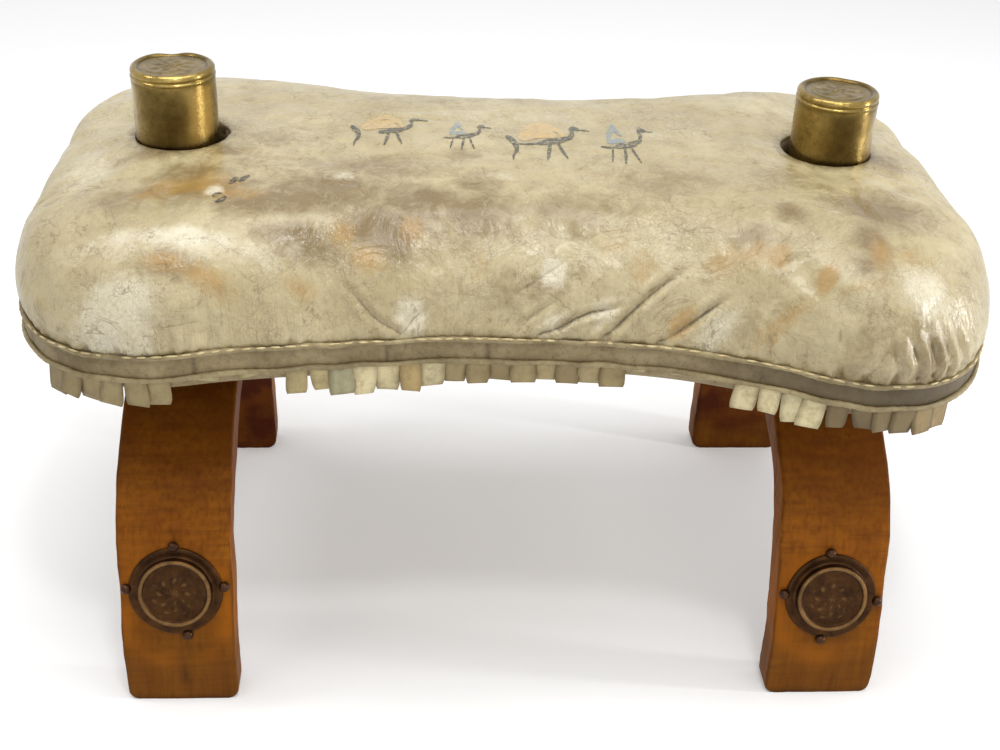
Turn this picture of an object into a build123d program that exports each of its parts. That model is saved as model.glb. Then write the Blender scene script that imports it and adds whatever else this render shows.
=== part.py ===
from build123d import *
import math
import os

# Camel saddle stool: two bent-wood arches joined by side rails, and two capped posts that
# pass up through a stuffed leather cushion. Millimetres, +Z up. X runs along the cushion,
# Y from the front to the back, and the origin lies on the floor in the middle of the feet.

# Arches
leg_width = 76.0
leg_thickness = 24.0
arch_half_depth = 171.5
widest_height = 30.0
foot_radius = 400.0
foot_turn = 7.0
belly_radius = 142.0
seat_tilt = 13.0
seat_length = 58.0
shoulder_radius = 80.0
shoulder_turn = 32.0
crown_radius = 172.0
leg_edge_radius = 2.5
lap_length = 76.0

# Posts, their wedges and the lap's dowels
left_post_top = 399.4
right_post_top = 388.4
post_radius = 26.6
post_edge_radius = 5.0
tenon_radius = 14.0
kerf_width = 3.0
kerf_tip_width = 1.0
kerf_depth = 18.0
dowel_radius = 4.0
dowel_offset = 26.0

# Brass caps
cap_clearance = 0.2
cap_wall = 1.2
cap_skirt = 80.0
cap_field_drop = 0.9
upper_bead_radius = 1.5
upper_bead_inset = 3.2
lower_bead_radius = 1.7
lower_bead_drop = 4.6
cap_ring_radius = 17.0
cap_ring_width = 2.0
cap_ring_rise = 0.5

# Side rails and their screws
rail_width = 27.0
rail_post_gap = 2.4
rail_top = 229.0
rail_housing_depth = 4.5
rail_edge_radius = 3.0
screw_length = 42.0
screw_shank_radius = 2.2
screw_head_radius = 4.6
screw_slot_width = 1.2
screw_slot_depth = 1.4
screw_spacing = 40.0

# Medallions and their nails
flange_radius = 31.5
flange_thickness = 1.6
disc_radius = 24.5
disc_rise = 5.0
rim_width = 3.6
field_depth = 1.4
petal_count = 8
petal_length = 10.0
petal_width = 5.0
petal_rise = 0.7
petal_sink = 0.8
boss_radius = 4.5
# Where the nails stand round each medallion, in degrees from the right, seen from outside
nail_angles = {"left": (6, 90, 176, 282), "right": (354, 95, 176, 262)}
# How far each side's medallions sit above the middle of their straight seat
left_medallion_rise = -1.0
right_medallion_rise = -8.0
nail_circle_radius = 33.0
nail_head_radius = 3.7
nail_shank_radius = 1.1
nail_length = 15.0

# Cushion
cushion_half_length = 318.0
# How far the cushion reaches past the middle of each arch
cushion_overhang = 93.6
corner_half_depth = 226.0
near_corner_half_depth = 199.0
waist_half_depth = 146.0
end_bulge = 9.0
corner_radius = 96.0
cushion_lift_gap = 0.3
underside_depth = 30.0
band_height = 16.5
crown_rise = 75.0
crown_inset = 112.0
underside_inset = 72.0
leather = 2.0
sleeve_radius = 33.0
sleeve_wall = 1.8
piping_radius = 2.6
piping_stand_off = 1.3
piping_flange = 1.0

# Height and inset of the crown's sections, as shares of the crown's rise and inset
crown_shares = (
    (0.0, 0.0), (0.28, -0.02), (0.52, 0.03), (0.72, 0.13), (0.86, 0.28), (0.95, 0.5), (0.99, 0.76), (1.0, 1.0)
)
# Depth and inset of the underside's sections, as shares of its depth and inset
underside_shares = ((0.0, 0.0), (0.3, 0.1), (0.62, 0.34), (0.88, 0.68), (1.0, 1.0))
# How much smaller the corner radius is where the inset is whole
corner_loss_share = 0.72

# Fringe
strip_width = 13.0
strip_pitch = 14.4
strip_thickness = 1.2
strip_length = 21.0
strip_setback = 0.2
# Stretches of the front seam that have lost their strips, as shares of the half length
front_gap_shares = ((-0.665, -0.454), (0.195, 0.463))
# Where the front and rear rows end, as a share of the half length
row_end_share = 0.86

# One overrun for cuts that pass right through
overrun = 5.0

# Sizes and heights that follow from the ones above
arch_spacing = 2 * (cushion_half_length - cushion_overhang)
belly_rise = belly_radius * math.sin(math.radians(seat_tilt))
seat_rise = seat_length * math.cos(math.radians(seat_tilt))
steep = math.radians(90 - seat_tilt)
slope = math.radians(90 - seat_tilt - shoulder_turn)
shoulder_rise = shoulder_radius * (math.cos(slope) - math.cos(steep))
crown_arc_rise = crown_radius * (1 - math.cos(slope))
crown_height = widest_height + belly_rise + seat_rise + shoulder_rise + crown_arc_rise
crown_underside = crown_height - leg_thickness
lap_height = crown_height - leg_thickness / 2
cut_top = crown_height + overrun
cap_radius = post_radius + cap_clearance + cap_wall
hollow_edge_radius = post_edge_radius - cap_clearance
rail_inner = post_radius + rail_post_gap
rail_middle = rail_inner + rail_width / 2
rail_bottom = crown_height - rail_housing_depth
rail_half_length = (arch_spacing + leg_width) / 2
underside_height = rail_top + cushion_lift_gap
lower_seam = underside_height + underside_depth
upper_seam = lower_seam + band_height
sleeve_hole_radius = sleeve_radius + sleeve_wall
sides = {"left": -arch_spacing / 2, "right": arch_spacing / 2}
fronts = {"front": -1, "rear": 1}
post_tops = {"left": left_post_top, "right": right_post_top}
medallion_rises = {"left": left_medallion_rise, "right": right_medallion_rise}

os.makedirs("parts", exist_ok=True)


def finish(builder, name):
    """Labels a finished piece and writes its file."""
    builder.part.label = name
    export_step(builder.part, f"parts/{name}.step")


def arch_side(depth):
    """Half of an arch's outline, foot to crown, at a depth below the outer face."""
    widest = (-(arch_half_depth - depth), widest_height)
    with BuildLine() as side:
        JernArc(widest, (0, -1), foot_radius - depth, foot_turn)
        belly = JernArc(widest, (0, 1), belly_radius - depth, -seat_tilt)
        seat = PolarLine(belly @ 1, seat_length, direction=belly % 1)
        shoulder = JernArc(seat @ 1, seat % 1, shoulder_radius - depth, -shoulder_turn)
        crown_turn = 90 - seat_tilt - shoulder_turn
        crown = JernArc(shoulder @ 1, shoulder % 1, crown_radius - depth, -crown_turn)
        Line(crown @ 1, (0, crown_height - depth))
    return side


# The middle of the medallion's seat, on the front leg's outer face
seat_start_depth = arch_half_depth - belly_radius * (1 - math.cos(math.radians(seat_tilt)))
seat_middle_depth = seat_start_depth - seat_length / 2 * math.sin(math.radians(seat_tilt))
seat_middle_height = widest_height + belly_rise + seat_rise / 2


def medallion_seat(side, front):
    """The plane of a medallion's seat, facing away from the leg."""
    tilt = math.radians(seat_tilt)
    depth = seat_middle_depth - medallion_rises[side] * math.sin(tilt)
    height = seat_middle_height + medallion_rises[side] * math.cos(tilt)
    return Plane(
        origin=(sides[side], fronts[front] * depth, height),
        x_dir=(-fronts[front], 0, 0),
        z_dir=(0, fronts[front] * math.cos(tilt), math.sin(tilt)),
    )


def nail_places(side):
    """Where a medallion's nails stand in the plane of its seat."""
    return [
        (nail_circle_radius * math.cos(math.radians(angle)), nail_circle_radius * math.sin(math.radians(angle)))
        for angle in nail_angles[side]
    ]


# The whole ribbon of an arch, seen along X
with BuildSketch(Plane.YZ) as ribbon:
    with BuildLine():
        outer = arch_side(0)
        inner = arch_side(leg_thickness)
        add(outer.line)
        add(inner.line)
        Line(outer.line.vertices().sort_by(Axis.Y)[0], inner.line.vertices().sort_by(Axis.Y)[0])
        Line((0, crown_height), (0, crown_underside))
    make_face()
    mirror(about=Plane.YZ)
    with Locations((0, -arch_half_depth)):
        Rectangle(2 * arch_half_depth + overrun, 2 * arch_half_depth, mode=Mode.SUBTRACT)

# What the front leg keeps of it: its own side, and the lower half of the lap
with BuildSketch(Plane.YZ) as front_keep:
    with Locations((-lap_length / 2, 0)):
        Rectangle(arch_half_depth, 2 * crown_height, align=(Align.MAX, Align.CENTER))
    with Locations((0, lap_height)):
        Rectangle(lap_length, 2 * leg_thickness, align=(Align.CENTER, Align.MAX))

for side, x in sides.items():
    for front, y in fronts.items():
        keep_mode = Mode.INTERSECT if front == "front" else Mode.SUBTRACT
        with BuildPart() as leg:
            with BuildSketch(Plane.YZ.offset(x)):
                add(ribbon.sketch_local)
                add(front_keep.sketch_local, mode=keep_mode)
            extrude(amount=leg_width / 2, both=True)
            side_edges = leg.faces().filter_by(Axis.X).edges()
            long_edges = side_edges.filter_by(lambda e: abs(e.center().Y) > lap_length / 2 + leg_edge_radius)
            fillet(long_edges.filter_by(lambda e: e.center().Z > leg_edge_radius), leg_edge_radius)
            with BuildSketch(Plane.XY.offset(crown_height)):
                with Locations((x, -rail_middle), (x, rail_middle)):
                    Rectangle(leg_width + overrun, rail_width)
            extrude(amount=-rail_housing_depth, mode=Mode.SUBTRACT)
            with BuildSketch(Plane.XY.offset(cut_top)):
                with Locations((x, 0)):
                    Circle(tenon_radius)
                with Locations((x - dowel_offset, 0), (x + dowel_offset, 0)):
                    Circle(dowel_radius)
            extrude(amount=-leg_thickness - 2 * overrun, mode=Mode.SUBTRACT)
            with BuildSketch(Plane.XY.offset(cut_top)):
                with Locations((x, y * rail_middle)):
                    with GridLocations(screw_spacing, 0, 2, 1):
                        Circle(screw_shank_radius)
            extrude(amount=rail_top - screw_length - cut_top, mode=Mode.SUBTRACT)
            with BuildSketch(medallion_seat(side, front)):
                with Locations(*nail_places(side)):
                    Circle(nail_shank_radius)
            extrude(amount=-nail_length, mode=Mode.SUBTRACT)
        finish(leg, f"{side}_{front}_leg")

# The hollow of a cap, which the head of its post fills
with BuildSketch(Plane.XZ) as cap_hollow:
    with Locations((0, -cap_field_drop - cap_wall)):
        Rectangle(cap_radius - cap_wall, cap_skirt, align=(Align.MIN, Align.MAX))
    head_corner = cap_hollow.vertices().group_by(Axis.X)[-1].sort_by(Axis.Y)[-1]
    fillet(head_corner, hollow_edge_radius)

# Turned posts with a tenon through the lap, and the wedges that spread the tenons
for side, x in sides.items():
    with BuildSketch(Plane.XZ.offset(-tenon_radius)) as wedge_profile:
        with Locations((x, crown_underside)):
            Trapezoid(
                kerf_width,
                kerf_depth,
                math.degrees(math.atan2(kerf_depth, (kerf_width - kerf_tip_width) / 2)),
                align=(Align.CENTER, Align.MIN),
            )
    with BuildPart() as wedge:
        add(wedge_profile.sketch)
        extrude(amount=2 * tenon_radius)
        with BuildSketch(Plane.XY.offset(crown_underside)):
            with Locations((x, 0)):
                Circle(tenon_radius)
        extrude(amount=leg_thickness, mode=Mode.INTERSECT)
    finish(wedge, f"{side}_post_wedge")

    with BuildPart() as post:
        with BuildSketch(Plane.XY.offset(crown_underside)):
            with Locations((x, 0)):
                Circle(tenon_radius)
        extrude(amount=leg_thickness)
        with BuildSketch(Plane.XY.offset(crown_height)):
            with Locations((x, 0)):
                Circle(post_radius)
        extrude(amount=post_tops[side] - crown_height)
        fillet(post.faces().sort_by(Axis.Z)[-1].edges(), post_edge_radius)
        add(wedge.part, mode=Mode.SUBTRACT)
    finish(post, f"{side}_post")

    with BuildPart() as dowels:
        with BuildSketch(Plane.XY.offset(crown_underside)):
            with Locations((x - dowel_offset, 0), (x + dowel_offset, 0)):
                Circle(dowel_radius)
        extrude(amount=leg_thickness)
    finish(dowels, f"{side}_lap_dowels")

# Brass caps: a drawn shell with a bead at its rim, a second one below, and a sunk top
for side, x in sides.items():
    cap_top = post_tops[side] + cap_wall + cap_field_drop
    with BuildPart() as cap:
        with BuildSketch(Plane(origin=(x, 0, cap_top), x_dir=(1, 0, 0), z_dir=(0, -1, 0))) as cap_section:
            with Locations((0, -cap_field_drop)):
                Rectangle(cap_radius, cap_skirt - cap_field_drop, align=(Align.MIN, Align.MAX))
            cap_corner = cap_section.vertices().group_by(Axis.X)[-1].sort_by(Axis.Y)[-1]
            fillet(cap_corner, hollow_edge_radius + cap_wall)
            with Locations((cap_radius - upper_bead_inset, -upper_bead_radius)):
                Circle(upper_bead_radius)
            with Locations((cap_radius - lower_bead_radius, -lower_bead_drop)):
                Circle(lower_bead_radius)
            with Locations((cap_ring_radius, -cap_field_drop)):
                Rectangle(cap_ring_width, cap_ring_rise, align=(Align.CENTER, Align.MIN))
            add(cap_hollow.sketch_local, mode=Mode.SUBTRACT)
        revolve(axis=Axis((x, 0, 0), (0, 0, 1)))
    finish(cap, f"{side}_post_cap")

# Side rails, screwed down into the crowns
for front, y in fronts.items():
    with BuildPart() as rail:
        with BuildSketch(Plane.YZ.offset(-rail_half_length)) as rail_section:
            with Locations((y * rail_middle, rail_bottom)):
                Rectangle(rail_width, rail_top - rail_bottom, align=(Align.CENTER, Align.MIN))
            fillet(rail_section.vertices(), rail_edge_radius)
        extrude(amount=2 * rail_half_length)
        with Locations(Plane.XY.offset(rail_top)):
            with GridLocations(arch_spacing, 0, 2, 1):
                with Locations((0, y * rail_middle)):
                    with GridLocations(screw_spacing, 0, 2, 1):
                        CounterSinkHole(screw_shank_radius, screw_head_radius)
    finish(rail, f"{front}_side_rail")

    with BuildPart() as screws:
        for x in sides.values():
            for offset_x in (-screw_spacing / 2, screw_spacing / 2):
                with Locations((x + offset_x, y * rail_middle, rail_top)):
                    Cylinder(screw_shank_radius, screw_length, align=(Align.CENTER, Align.CENTER, Align.MAX))
                    Cone(screw_shank_radius, screw_head_radius, screw_head_radius - screw_shank_radius,
                         align=(Align.CENTER, Align.CENTER, Align.MAX))
                    Box(2 * screw_head_radius, screw_slot_width, screw_slot_depth,
                        align=(Align.CENTER, Align.CENTER, Align.MAX), mode=Mode.SUBTRACT)
    finish(screws, f"{front}_rail_screws")

# Medallions, with a generic rosette in a sunk field, and the nails round them
for side in sides:
    for front in fronts:
        seat_plane = medallion_seat(side, front)
        bottom_aligned = (Align.CENTER, Align.CENTER, Align.MIN)
        with BuildPart(seat_plane) as medallion:
            Cylinder(flange_radius, flange_thickness, align=bottom_aligned)
            with BuildSketch(seat_plane.offset(flange_thickness)):
                Circle(disc_radius)
            extrude(amount=disc_rise)
            with BuildSketch(seat_plane.offset(flange_thickness + disc_rise)):
                Circle(disc_radius - rim_width)
            extrude(amount=-field_depth, mode=Mode.SUBTRACT)
            with BuildSketch(seat_plane.offset(flange_thickness + disc_rise - field_depth)):
                Circle(boss_radius)
                with PolarLocations(boss_radius - petal_sink + petal_length / 2, petal_count):
                    Ellipse(petal_length / 2, petal_width / 2)
            extrude(amount=petal_rise)
        finish(medallion, f"{side}_{front}_medallion")

        with BuildPart(seat_plane) as nails:
            with Locations(*nail_places(side)):
                Cylinder(nail_shank_radius, nail_length, align=(Align.CENTER, Align.CENTER, Align.MAX))
                Cylinder(nail_shank_radius, flange_thickness, align=bottom_aligned)
                with Locations((0, 0, flange_thickness)):
                    Sphere(nail_head_radius, arc_size1=0, align=bottom_aligned)
        finish(nails, f"{side}_{front}_nails")


def hourglass(inset, height, shrink=0.0):
    """A section of the cushion: drawn in at its waist, and set in all round by an inset."""
    whole = inset / crown_inset
    half_length = cushion_half_length - inset - shrink
    far_corner = corner_half_depth - inset - shrink
    near_corner = near_corner_half_depth - inset - shrink
    waist = waist_half_depth - inset - shrink
    corner_x = half_length - end_bulge
    with BuildSketch(Plane.XY.offset(height)) as section:
        with BuildLine():
            ThreePointArc((-corner_x, -near_corner), (0, -waist), (corner_x, -far_corner))
            ThreePointArc((corner_x, -far_corner), (half_length, 0), (corner_x, near_corner))
            ThreePointArc((corner_x, near_corner), (0, waist), (-corner_x, far_corner))
            ThreePointArc((-corner_x, far_corner), (-half_length, 0), (-corner_x, -near_corner))
        make_face()
        fillet(section.vertices(), (corner_radius - shrink) * (1 - corner_loss_share * whole))
    return section.sketch


def cushion_body(shrink):
    """The cushion's whole form, smaller all round by a shrink, without its post holes."""
    with BuildPart() as body:
        crown = [
            hourglass(inset_share * crown_inset, upper_seam + rise_share * (crown_rise - shrink), shrink)
            for rise_share, inset_share in crown_shares
        ]
        loft(sections=crown)
        extrude(hourglass(0, lower_seam, shrink), amount=band_height)
        strip_room = 2 * strip_setback + strip_thickness
        underside = [
            hourglass(
                strip_room + inset_share * underside_inset,
                lower_seam - depth_share * (underside_depth - shrink),
                shrink,
            )
            for depth_share, inset_share in underside_shares
        ]
        loft(sections=underside)
    return body


cushion_form = cushion_body(0)
stuffing_form = cushion_body(leather)
crown_reach = crown_rise + overrun
post_places = [(x, 0) for x in sides.values()]
half_flange = piping_flange / 2

# The stuffing, with the two post holes
with BuildPart() as stuffing:
    add(stuffing_form.part)
    with BuildSketch(Plane.XY.offset(underside_height)):
        with Locations(*post_places):
            Circle(sleeve_hole_radius)
    extrude(amount=underside_depth + band_height + crown_reach, mode=Mode.SUBTRACT)
finish(stuffing, "stuffing")

# The leather skin: top panel, side band and bottom panel
skin_spans = {
    "top_panel": (upper_seam + half_flange, crown_reach),
    "side_band": (lower_seam + half_flange, band_height - piping_flange),
    "bottom_panel": (lower_seam - half_flange, -underside_depth),
}
for name, (start, reach) in skin_spans.items():
    with BuildPart() as skin:
        add(cushion_form.part)
        add(stuffing_form.part, mode=Mode.SUBTRACT)
        with BuildSketch(Plane.XY.offset(start)):
            Rectangle(2 * cushion_half_length + 2 * overrun, 2 * corner_half_depth)
            if name != "side_band":
                with Locations(*post_places):
                    Circle(sleeve_hole_radius, mode=Mode.SUBTRACT)
        extrude(amount=reach, mode=Mode.INTERSECT)
    finish(skin, name)

# Welts: a round bead outside each seam, on a flange that is sewn into it
for name, height in {"upper_piping": upper_seam, "lower_piping": lower_seam}.items():
    bead_outline = hourglass(0, height, -piping_stand_off - piping_radius).wires()[0]
    with BuildPart() as piping:
        bead_plane = Plane(origin=bead_outline @ 0, z_dir=bead_outline % 0)
        with BuildSketch(bead_plane):
            Circle(piping_radius)
        sweep(path=bead_outline)
        with BuildSketch(Plane.XY.offset(height - half_flange)):
            add(hourglass(0, 0, -piping_stand_off - piping_radius))
            add(hourglass(0, 0, leather / 2), mode=Mode.SUBTRACT)
        extrude(amount=piping_flange)
    finish(piping, name)

# The leather sleeves that line the post holes
for side, x in sides.items():
    with BuildPart() as sleeve:
        add(cushion_form.part)
        with BuildSketch(Plane.XY.offset(underside_height)):
            with Locations((x, 0)):
                Circle(sleeve_hole_radius)
                Circle(sleeve_radius, mode=Mode.SUBTRACT)
        extrude(amount=underside_depth + band_height + crown_reach, mode=Mode.INTERSECT)
    finish(sleeve, f"{side}_post_sleeve")

# The fringe: strips that hang side by side from the lower seam
strip_line = hourglass(strip_setback + strip_thickness / 2, lower_seam - half_flange).wires()[0]
strip_count = round(strip_line.length / strip_pitch)
row_end = row_end_share * cushion_half_length
rows = {"front_fringe": [], "rear_fringe": [], "left_fringe": [], "right_fringe": []}
for index in range(strip_count):
    place = strip_line @ (index / strip_count)
    along = strip_line % (index / strip_count)
    if abs(place.X) > row_end:
        row = "right_fringe" if place.X > 0 else "left_fringe"
    else:
        row = "rear_fringe" if place.Y > 0 else "front_fringe"
    share = place.X / cushion_half_length
    if row == "front_fringe" and any(low < share < high for low, high in front_gap_shares):
        continue
    rows[row].append(Plane(origin=place, x_dir=along, z_dir=(0, 0, 1)))

for name, planes in rows.items():
    with BuildPart() as fringe:
        with Locations(*planes):
            Box(strip_width, strip_thickness, strip_length, align=(Align.CENTER, Align.CENTER, Align.MAX))
    finish(fringe, name)
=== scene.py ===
import math
import random
from functools import partial

import bmesh
import bpy
import numpy as np
from mathutils import Matrix, Vector, geometry, kdtree, noise
from mathutils.bvhtree import BVHTree


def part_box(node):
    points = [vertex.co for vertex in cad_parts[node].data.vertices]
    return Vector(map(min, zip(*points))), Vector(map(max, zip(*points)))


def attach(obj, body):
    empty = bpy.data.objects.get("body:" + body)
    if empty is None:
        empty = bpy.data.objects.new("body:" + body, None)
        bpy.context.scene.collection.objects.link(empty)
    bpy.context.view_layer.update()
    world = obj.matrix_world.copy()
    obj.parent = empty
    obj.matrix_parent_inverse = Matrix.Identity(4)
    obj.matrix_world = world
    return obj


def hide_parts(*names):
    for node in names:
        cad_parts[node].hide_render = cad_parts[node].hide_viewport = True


# Camel saddle stool. Shapes are worked out in millimetres and written to meshes in metres.
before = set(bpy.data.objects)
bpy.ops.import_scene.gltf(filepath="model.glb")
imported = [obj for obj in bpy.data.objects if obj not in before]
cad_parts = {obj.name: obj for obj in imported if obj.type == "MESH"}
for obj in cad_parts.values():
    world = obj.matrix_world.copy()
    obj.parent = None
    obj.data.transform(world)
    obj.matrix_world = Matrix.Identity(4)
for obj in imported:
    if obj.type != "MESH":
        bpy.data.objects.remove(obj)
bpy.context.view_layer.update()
MM = 0.001

# Sizes of the cushion, as the construction has them
corner_half_depth = 226.0
near_corner_half_depth = 199.0
waist_half_depth = 146.0
end_bulge = 9.0
corner_radius = 96.0
crown_inset = 112.0
underside_inset = 72.0
seat_tilt = 13.0
piping_radius = 1.75
hole_radius = 31.4
hole_shift = 2.6
# Rays that look for the top of the cushion start this far above its crown
ray_rise = 60.0
# Points of a seam line that small pieces are set along
seam_points = 4000


def low(name, axis):
    """The lowest place of a node along an axis, in millimetres."""
    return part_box(name)[0][axis] / MM


def high(name, axis):
    """The highest place of a node along an axis, in millimetres."""
    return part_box(name)[1][axis] / MM


half_length = high("side_band", 0)
lower_seam = low("side_band", 2)
upper_seam = high("side_band", 2)
underside = low("bottom_panel", 2)
crown_top = high("top_panel", 2)
crown_rise = crown_top - upper_seam
post_x = (low("right_post", 0) + high("right_post", 0)) / 2
hole_x = post_x - hole_shift

# Camera: a long lens above and in front of the stool
camera_place = (-64.16, -944.92, 724.78)
camera_lens = 52.68
camera_pitch = math.radians(30.68)
camera_yaw = math.radians(3.90)
camera_roll = math.radians(2.13)


def make_camera():
    data = bpy.data.cameras.new("camera")
    data.lens = camera_lens
    data.sensor_width = 36.0
    made = bpy.data.objects.new("camera", data)
    bpy.context.scene.collection.objects.link(made)
    turn = Matrix.Rotation(-camera_yaw, 4, "Z")
    tip = Matrix.Rotation(math.pi / 2 - camera_pitch, 4, "X")
    lean = Matrix.Rotation(camera_roll, 4, "Z")
    made.matrix_world = Matrix.Translation(Vector(camera_place) * MM) @ turn @ tip @ lean
    bpy.context.scene.camera = made


make_camera()


# Materials

def colour(code):
    """An sRGB hex colour as linear red, green, blue and alpha."""
    parts = [int(code[i:i + 2], 16) / 255 for i in (1, 3, 5)]
    return (*[c / 12.92 if c <= 0.04045 else ((c + 0.055) / 1.055) ** 2.4 for c in parts], 1.0)


def add_node(tree, kind, inputs=None, stops=None, **settings):
    """Adds a node, with its settings, its inputs or links, and the stops of a ramp."""
    made = tree.nodes.new("ShaderNode" + kind)
    for key, value in settings.items():
        setattr(made, key, value)
    for key, value in (inputs or {}).items():
        socket = made.inputs[key] if isinstance(key, int) else next(
            s for s in made.inputs if s.name == key and s.enabled)
        if isinstance(value, bpy.types.Node):
            value = next(s for s in value.outputs if s.enabled)
        if isinstance(value, bpy.types.NodeSocket):
            tree.links.new(value, socket)
        else:
            socket.default_value = value
    for index, (place, shade) in enumerate(stops or ()):
        if index > 1:
            made.color_ramp.elements.new(place)
        element = made.color_ramp.elements[index]
        element.position = place
        element.color = colour(shade)
    return made


def new_material(name, *noises):
    """An empty material, its main shader, the place on the object, what adds and links nodes in it, and
    noises of given sizes in millimetres, details and roughnesses."""
    material = bpy.data.materials.new(name)
    material.use_nodes = True
    tree = material.node_tree
    shader = tree.nodes["Principled BSDF"]
    place = tree.nodes.new("ShaderNodeTexCoord").outputs["Object"]

    def link(node, *sockets):
        given = next(s for s in node.outputs if s.enabled)
        for socket in sockets:
            tree.links.new(given, shader.inputs[socket])

    add = partial(add_node, tree)
    clouds = [add("TexNoise", {"Vector": place, "Scale": per_mm(size), "Detail": detail, "Roughness": rough})
              for size, detail, rough in noises]
    return material, shader, place, add, link, clouds


def cover(add, tone, *layers):
    """Lays colours over a tone: each grows to its most where its source goes from start to end."""
    for source, start, end, most, shade in layers:
        mask = add("MapRange", {"Value": source, "From Min": start, "From Max": end, "To Max": most})
        tone = add("Mix", {"Factor": mask, "A": tone, "B": colour(shade)}, data_type="RGBA")
    return tone


def per_mm(size):
    """A texture scale whose cells are about a size in millimetres."""
    return 1 / (size * MM)


def painted_leather(name, paint=None, wear=0.45):
    """Cowhide with a cream paint finish, rubbed, stained and crackled, under an old varnish, with painted
    highlights and painted shade.
    """
    material, shader, place, add, link, clouds = new_material(
        name, (95, 5, 0.6), (16, 8, 0.68), (2.6, 6, 0.8), (9, 4, 0.5), (42, 5, 0.5), (55, 6, 0.7),
        (1.6, 5, 0.5))
    cloud, mottle, specks, bent, where, polish, grain = clouds
    base = add("ValToRGB", {"Fac": cloud}, stops=[(0.28, "#A6966C"), (0.74, "#C5B892")])
    base = cover(add, base, (mottle, 0.42, 0.66, 0.6, "#9C8B64"))
    # Broad staining, scuffs, pale rubbed places, painted highlights and painted shade are on the mesh, broken
    # up here
    for attribute, shade, size, most in (
        ("stain_and_shade", "#69501F", 15, 0.8), ("scuff", "#A57F3C", 5, 0.7), ("pale", "#E0D8C0", 8, 0.68),
        ("dirt_and_shade", "#54442A", 6, 0.9),
    ):
        painted = add("Attribute", attribute_name=attribute).outputs["Fac"]
        broken = add("TexNoise", {"Vector": place, "Scale": per_mm(size), "Detail": 9.0,
                                  "Roughness": 0.74, "Distortion": 0.6})
        both = add("Math", {0: broken, 1: 1.7, 2: painted}, operation="MULTIPLY_ADD")
        base = cover(add, base, (both, 1.2, 1.85, most, shade))
    base = cover(add, base, (specks, 0.54, 0.72, 0.5, "#7F6B43"))
    # Long thin creases wander over it
    for size, shade, most in ((46, "#75623C", 0.5), (23, "#8A7650", 0.4), (31, "#E4DCC2", 0.15)):
        winding = add("TexNoise", {"Vector": place, "Scale": per_mm(size), "Detail": 4.0,
                                   "Roughness": 0.6, "Distortion": 0.9})
        off = add("Math", {0: winding, 1: 0.5, 2: 0.007}, operation="COMPARE")
        strong = add("MapRange", {"Value": mottle, "From Min": 0.42, "From Max": 0.58, "To Max": most})
        off = add("Math", {0: off, 1: strong}, operation="MULTIPLY")
        base = cover(add, base, (off, 0, 1, 1, shade))
    # Crackle in the paint: a net of fine cracks, stronger where the leather bends
    shaken = add("VectorMath", {0: bent.outputs["Color"], "Scale": 0.0055}, operation="SCALE")
    shaken = add("VectorMath", {0: place, 1: shaken}, operation="ADD")
    nets = []
    for size, wide, most in ((6.5, 0.05, 1.0), (2.6, 0.09, 0.6)):
        net = add("TexVoronoi", {"Vector": shaken, "Scale": per_mm(size)}, feature="DISTANCE_TO_EDGE")
        nets.append(add("MapRange", {"Value": net.outputs["Distance"], "From Min": 0.0, "From Max": wide,
                                     "To Min": most, "To Max": 0.0}))
    where = add("MapRange", {"Value": where, "From Min": 0.47, "From Max": 0.64})
    crack = add("Math", {0: nets[0], 1: nets[1]}, operation="MAXIMUM")
    crack = add("Math", {0: crack, 1: where}, operation="MULTIPLY")
    base = cover(add, base, (crack, 0, 1, 0.5, "#7C6844"))
    if paint:
        # Brushed pigment, worn away where the ground shows through
        gone = add("TexNoise", {"Vector": place, "Scale": per_mm(3.0), "Detail": 4.0, "Roughness": 0.7})
        kept = add("MapRange", {"Value": gone, "From Min": wear - 0.08, "From Max": wear + 0.1,
                                "To Min": 0.15, "To Max": 0.92})
        base = cover(add, base, (kept, 0, 1, 1, paint))
    link(base, "Base Color")
    link(add("MapRange", {"Value": polish, "From Min": 0.3, "From Max": 0.7, "To Min": 0.3,
                          "To Max": 0.56}), "Roughness")
    shader.inputs["IOR"].default_value = 1.48
    shader.inputs["Coat Weight"].default_value = 0.32
    shader.inputs["Coat Roughness"].default_value = 0.13
    relief = add("Math", {0: grain, 1: 0.35}, operation="MULTIPLY")
    relief = add("Math", {0: relief, 1: mottle}, operation="ADD")
    relief = add("Math", {0: relief, 1: crack}, operation="SUBTRACT")
    bump = add("Bump", {"Height": relief, "Strength": 0.35, "Distance": 0.0007})
    # Fine pleats that run in from the seam
    around = add("Attribute", attribute_name="around").outputs["Fac"]
    inside = add("Attribute", attribute_name="inside").outputs["Fac"]
    spread = add("CombineXYZ", {"X": add("Math", {0: around, 1: 330.0}, operation="MULTIPLY"),
                                "Y": add("Math", {0: inside, 1: 2.4}, operation="MULTIPLY")})
    pleats = add("TexNoise", {"Vector": spread, "Scale": 1.0, "Detail": 3.0, "Distortion": 0.5})
    close = add("MapRange", {"Value": inside, "From Min": 0.1, "From Max": 0.75, "To Min": 1.0,
                             "To Max": 0.0})
    pleats = add("Math", {0: pleats, 1: close}, operation="MULTIPLY")
    bump = add("Bump", {"Height": pleats, "Strength": 0.5, "Distance": 0.004, "Normal": bump})
    # Finger-sized unevenness breaks up the shine
    uneven = add("TexNoise", {"Vector": place, "Scale": per_mm(24), "Detail": 5.0, "Roughness": 0.5,
                              "Distortion": 0.5})
    bump = add("Bump", {"Height": uneven, "Strength": 0.7, "Distance": 0.005, "Normal": bump})
    link(bump, "Normal", "Coat Normal")
    return material


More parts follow.
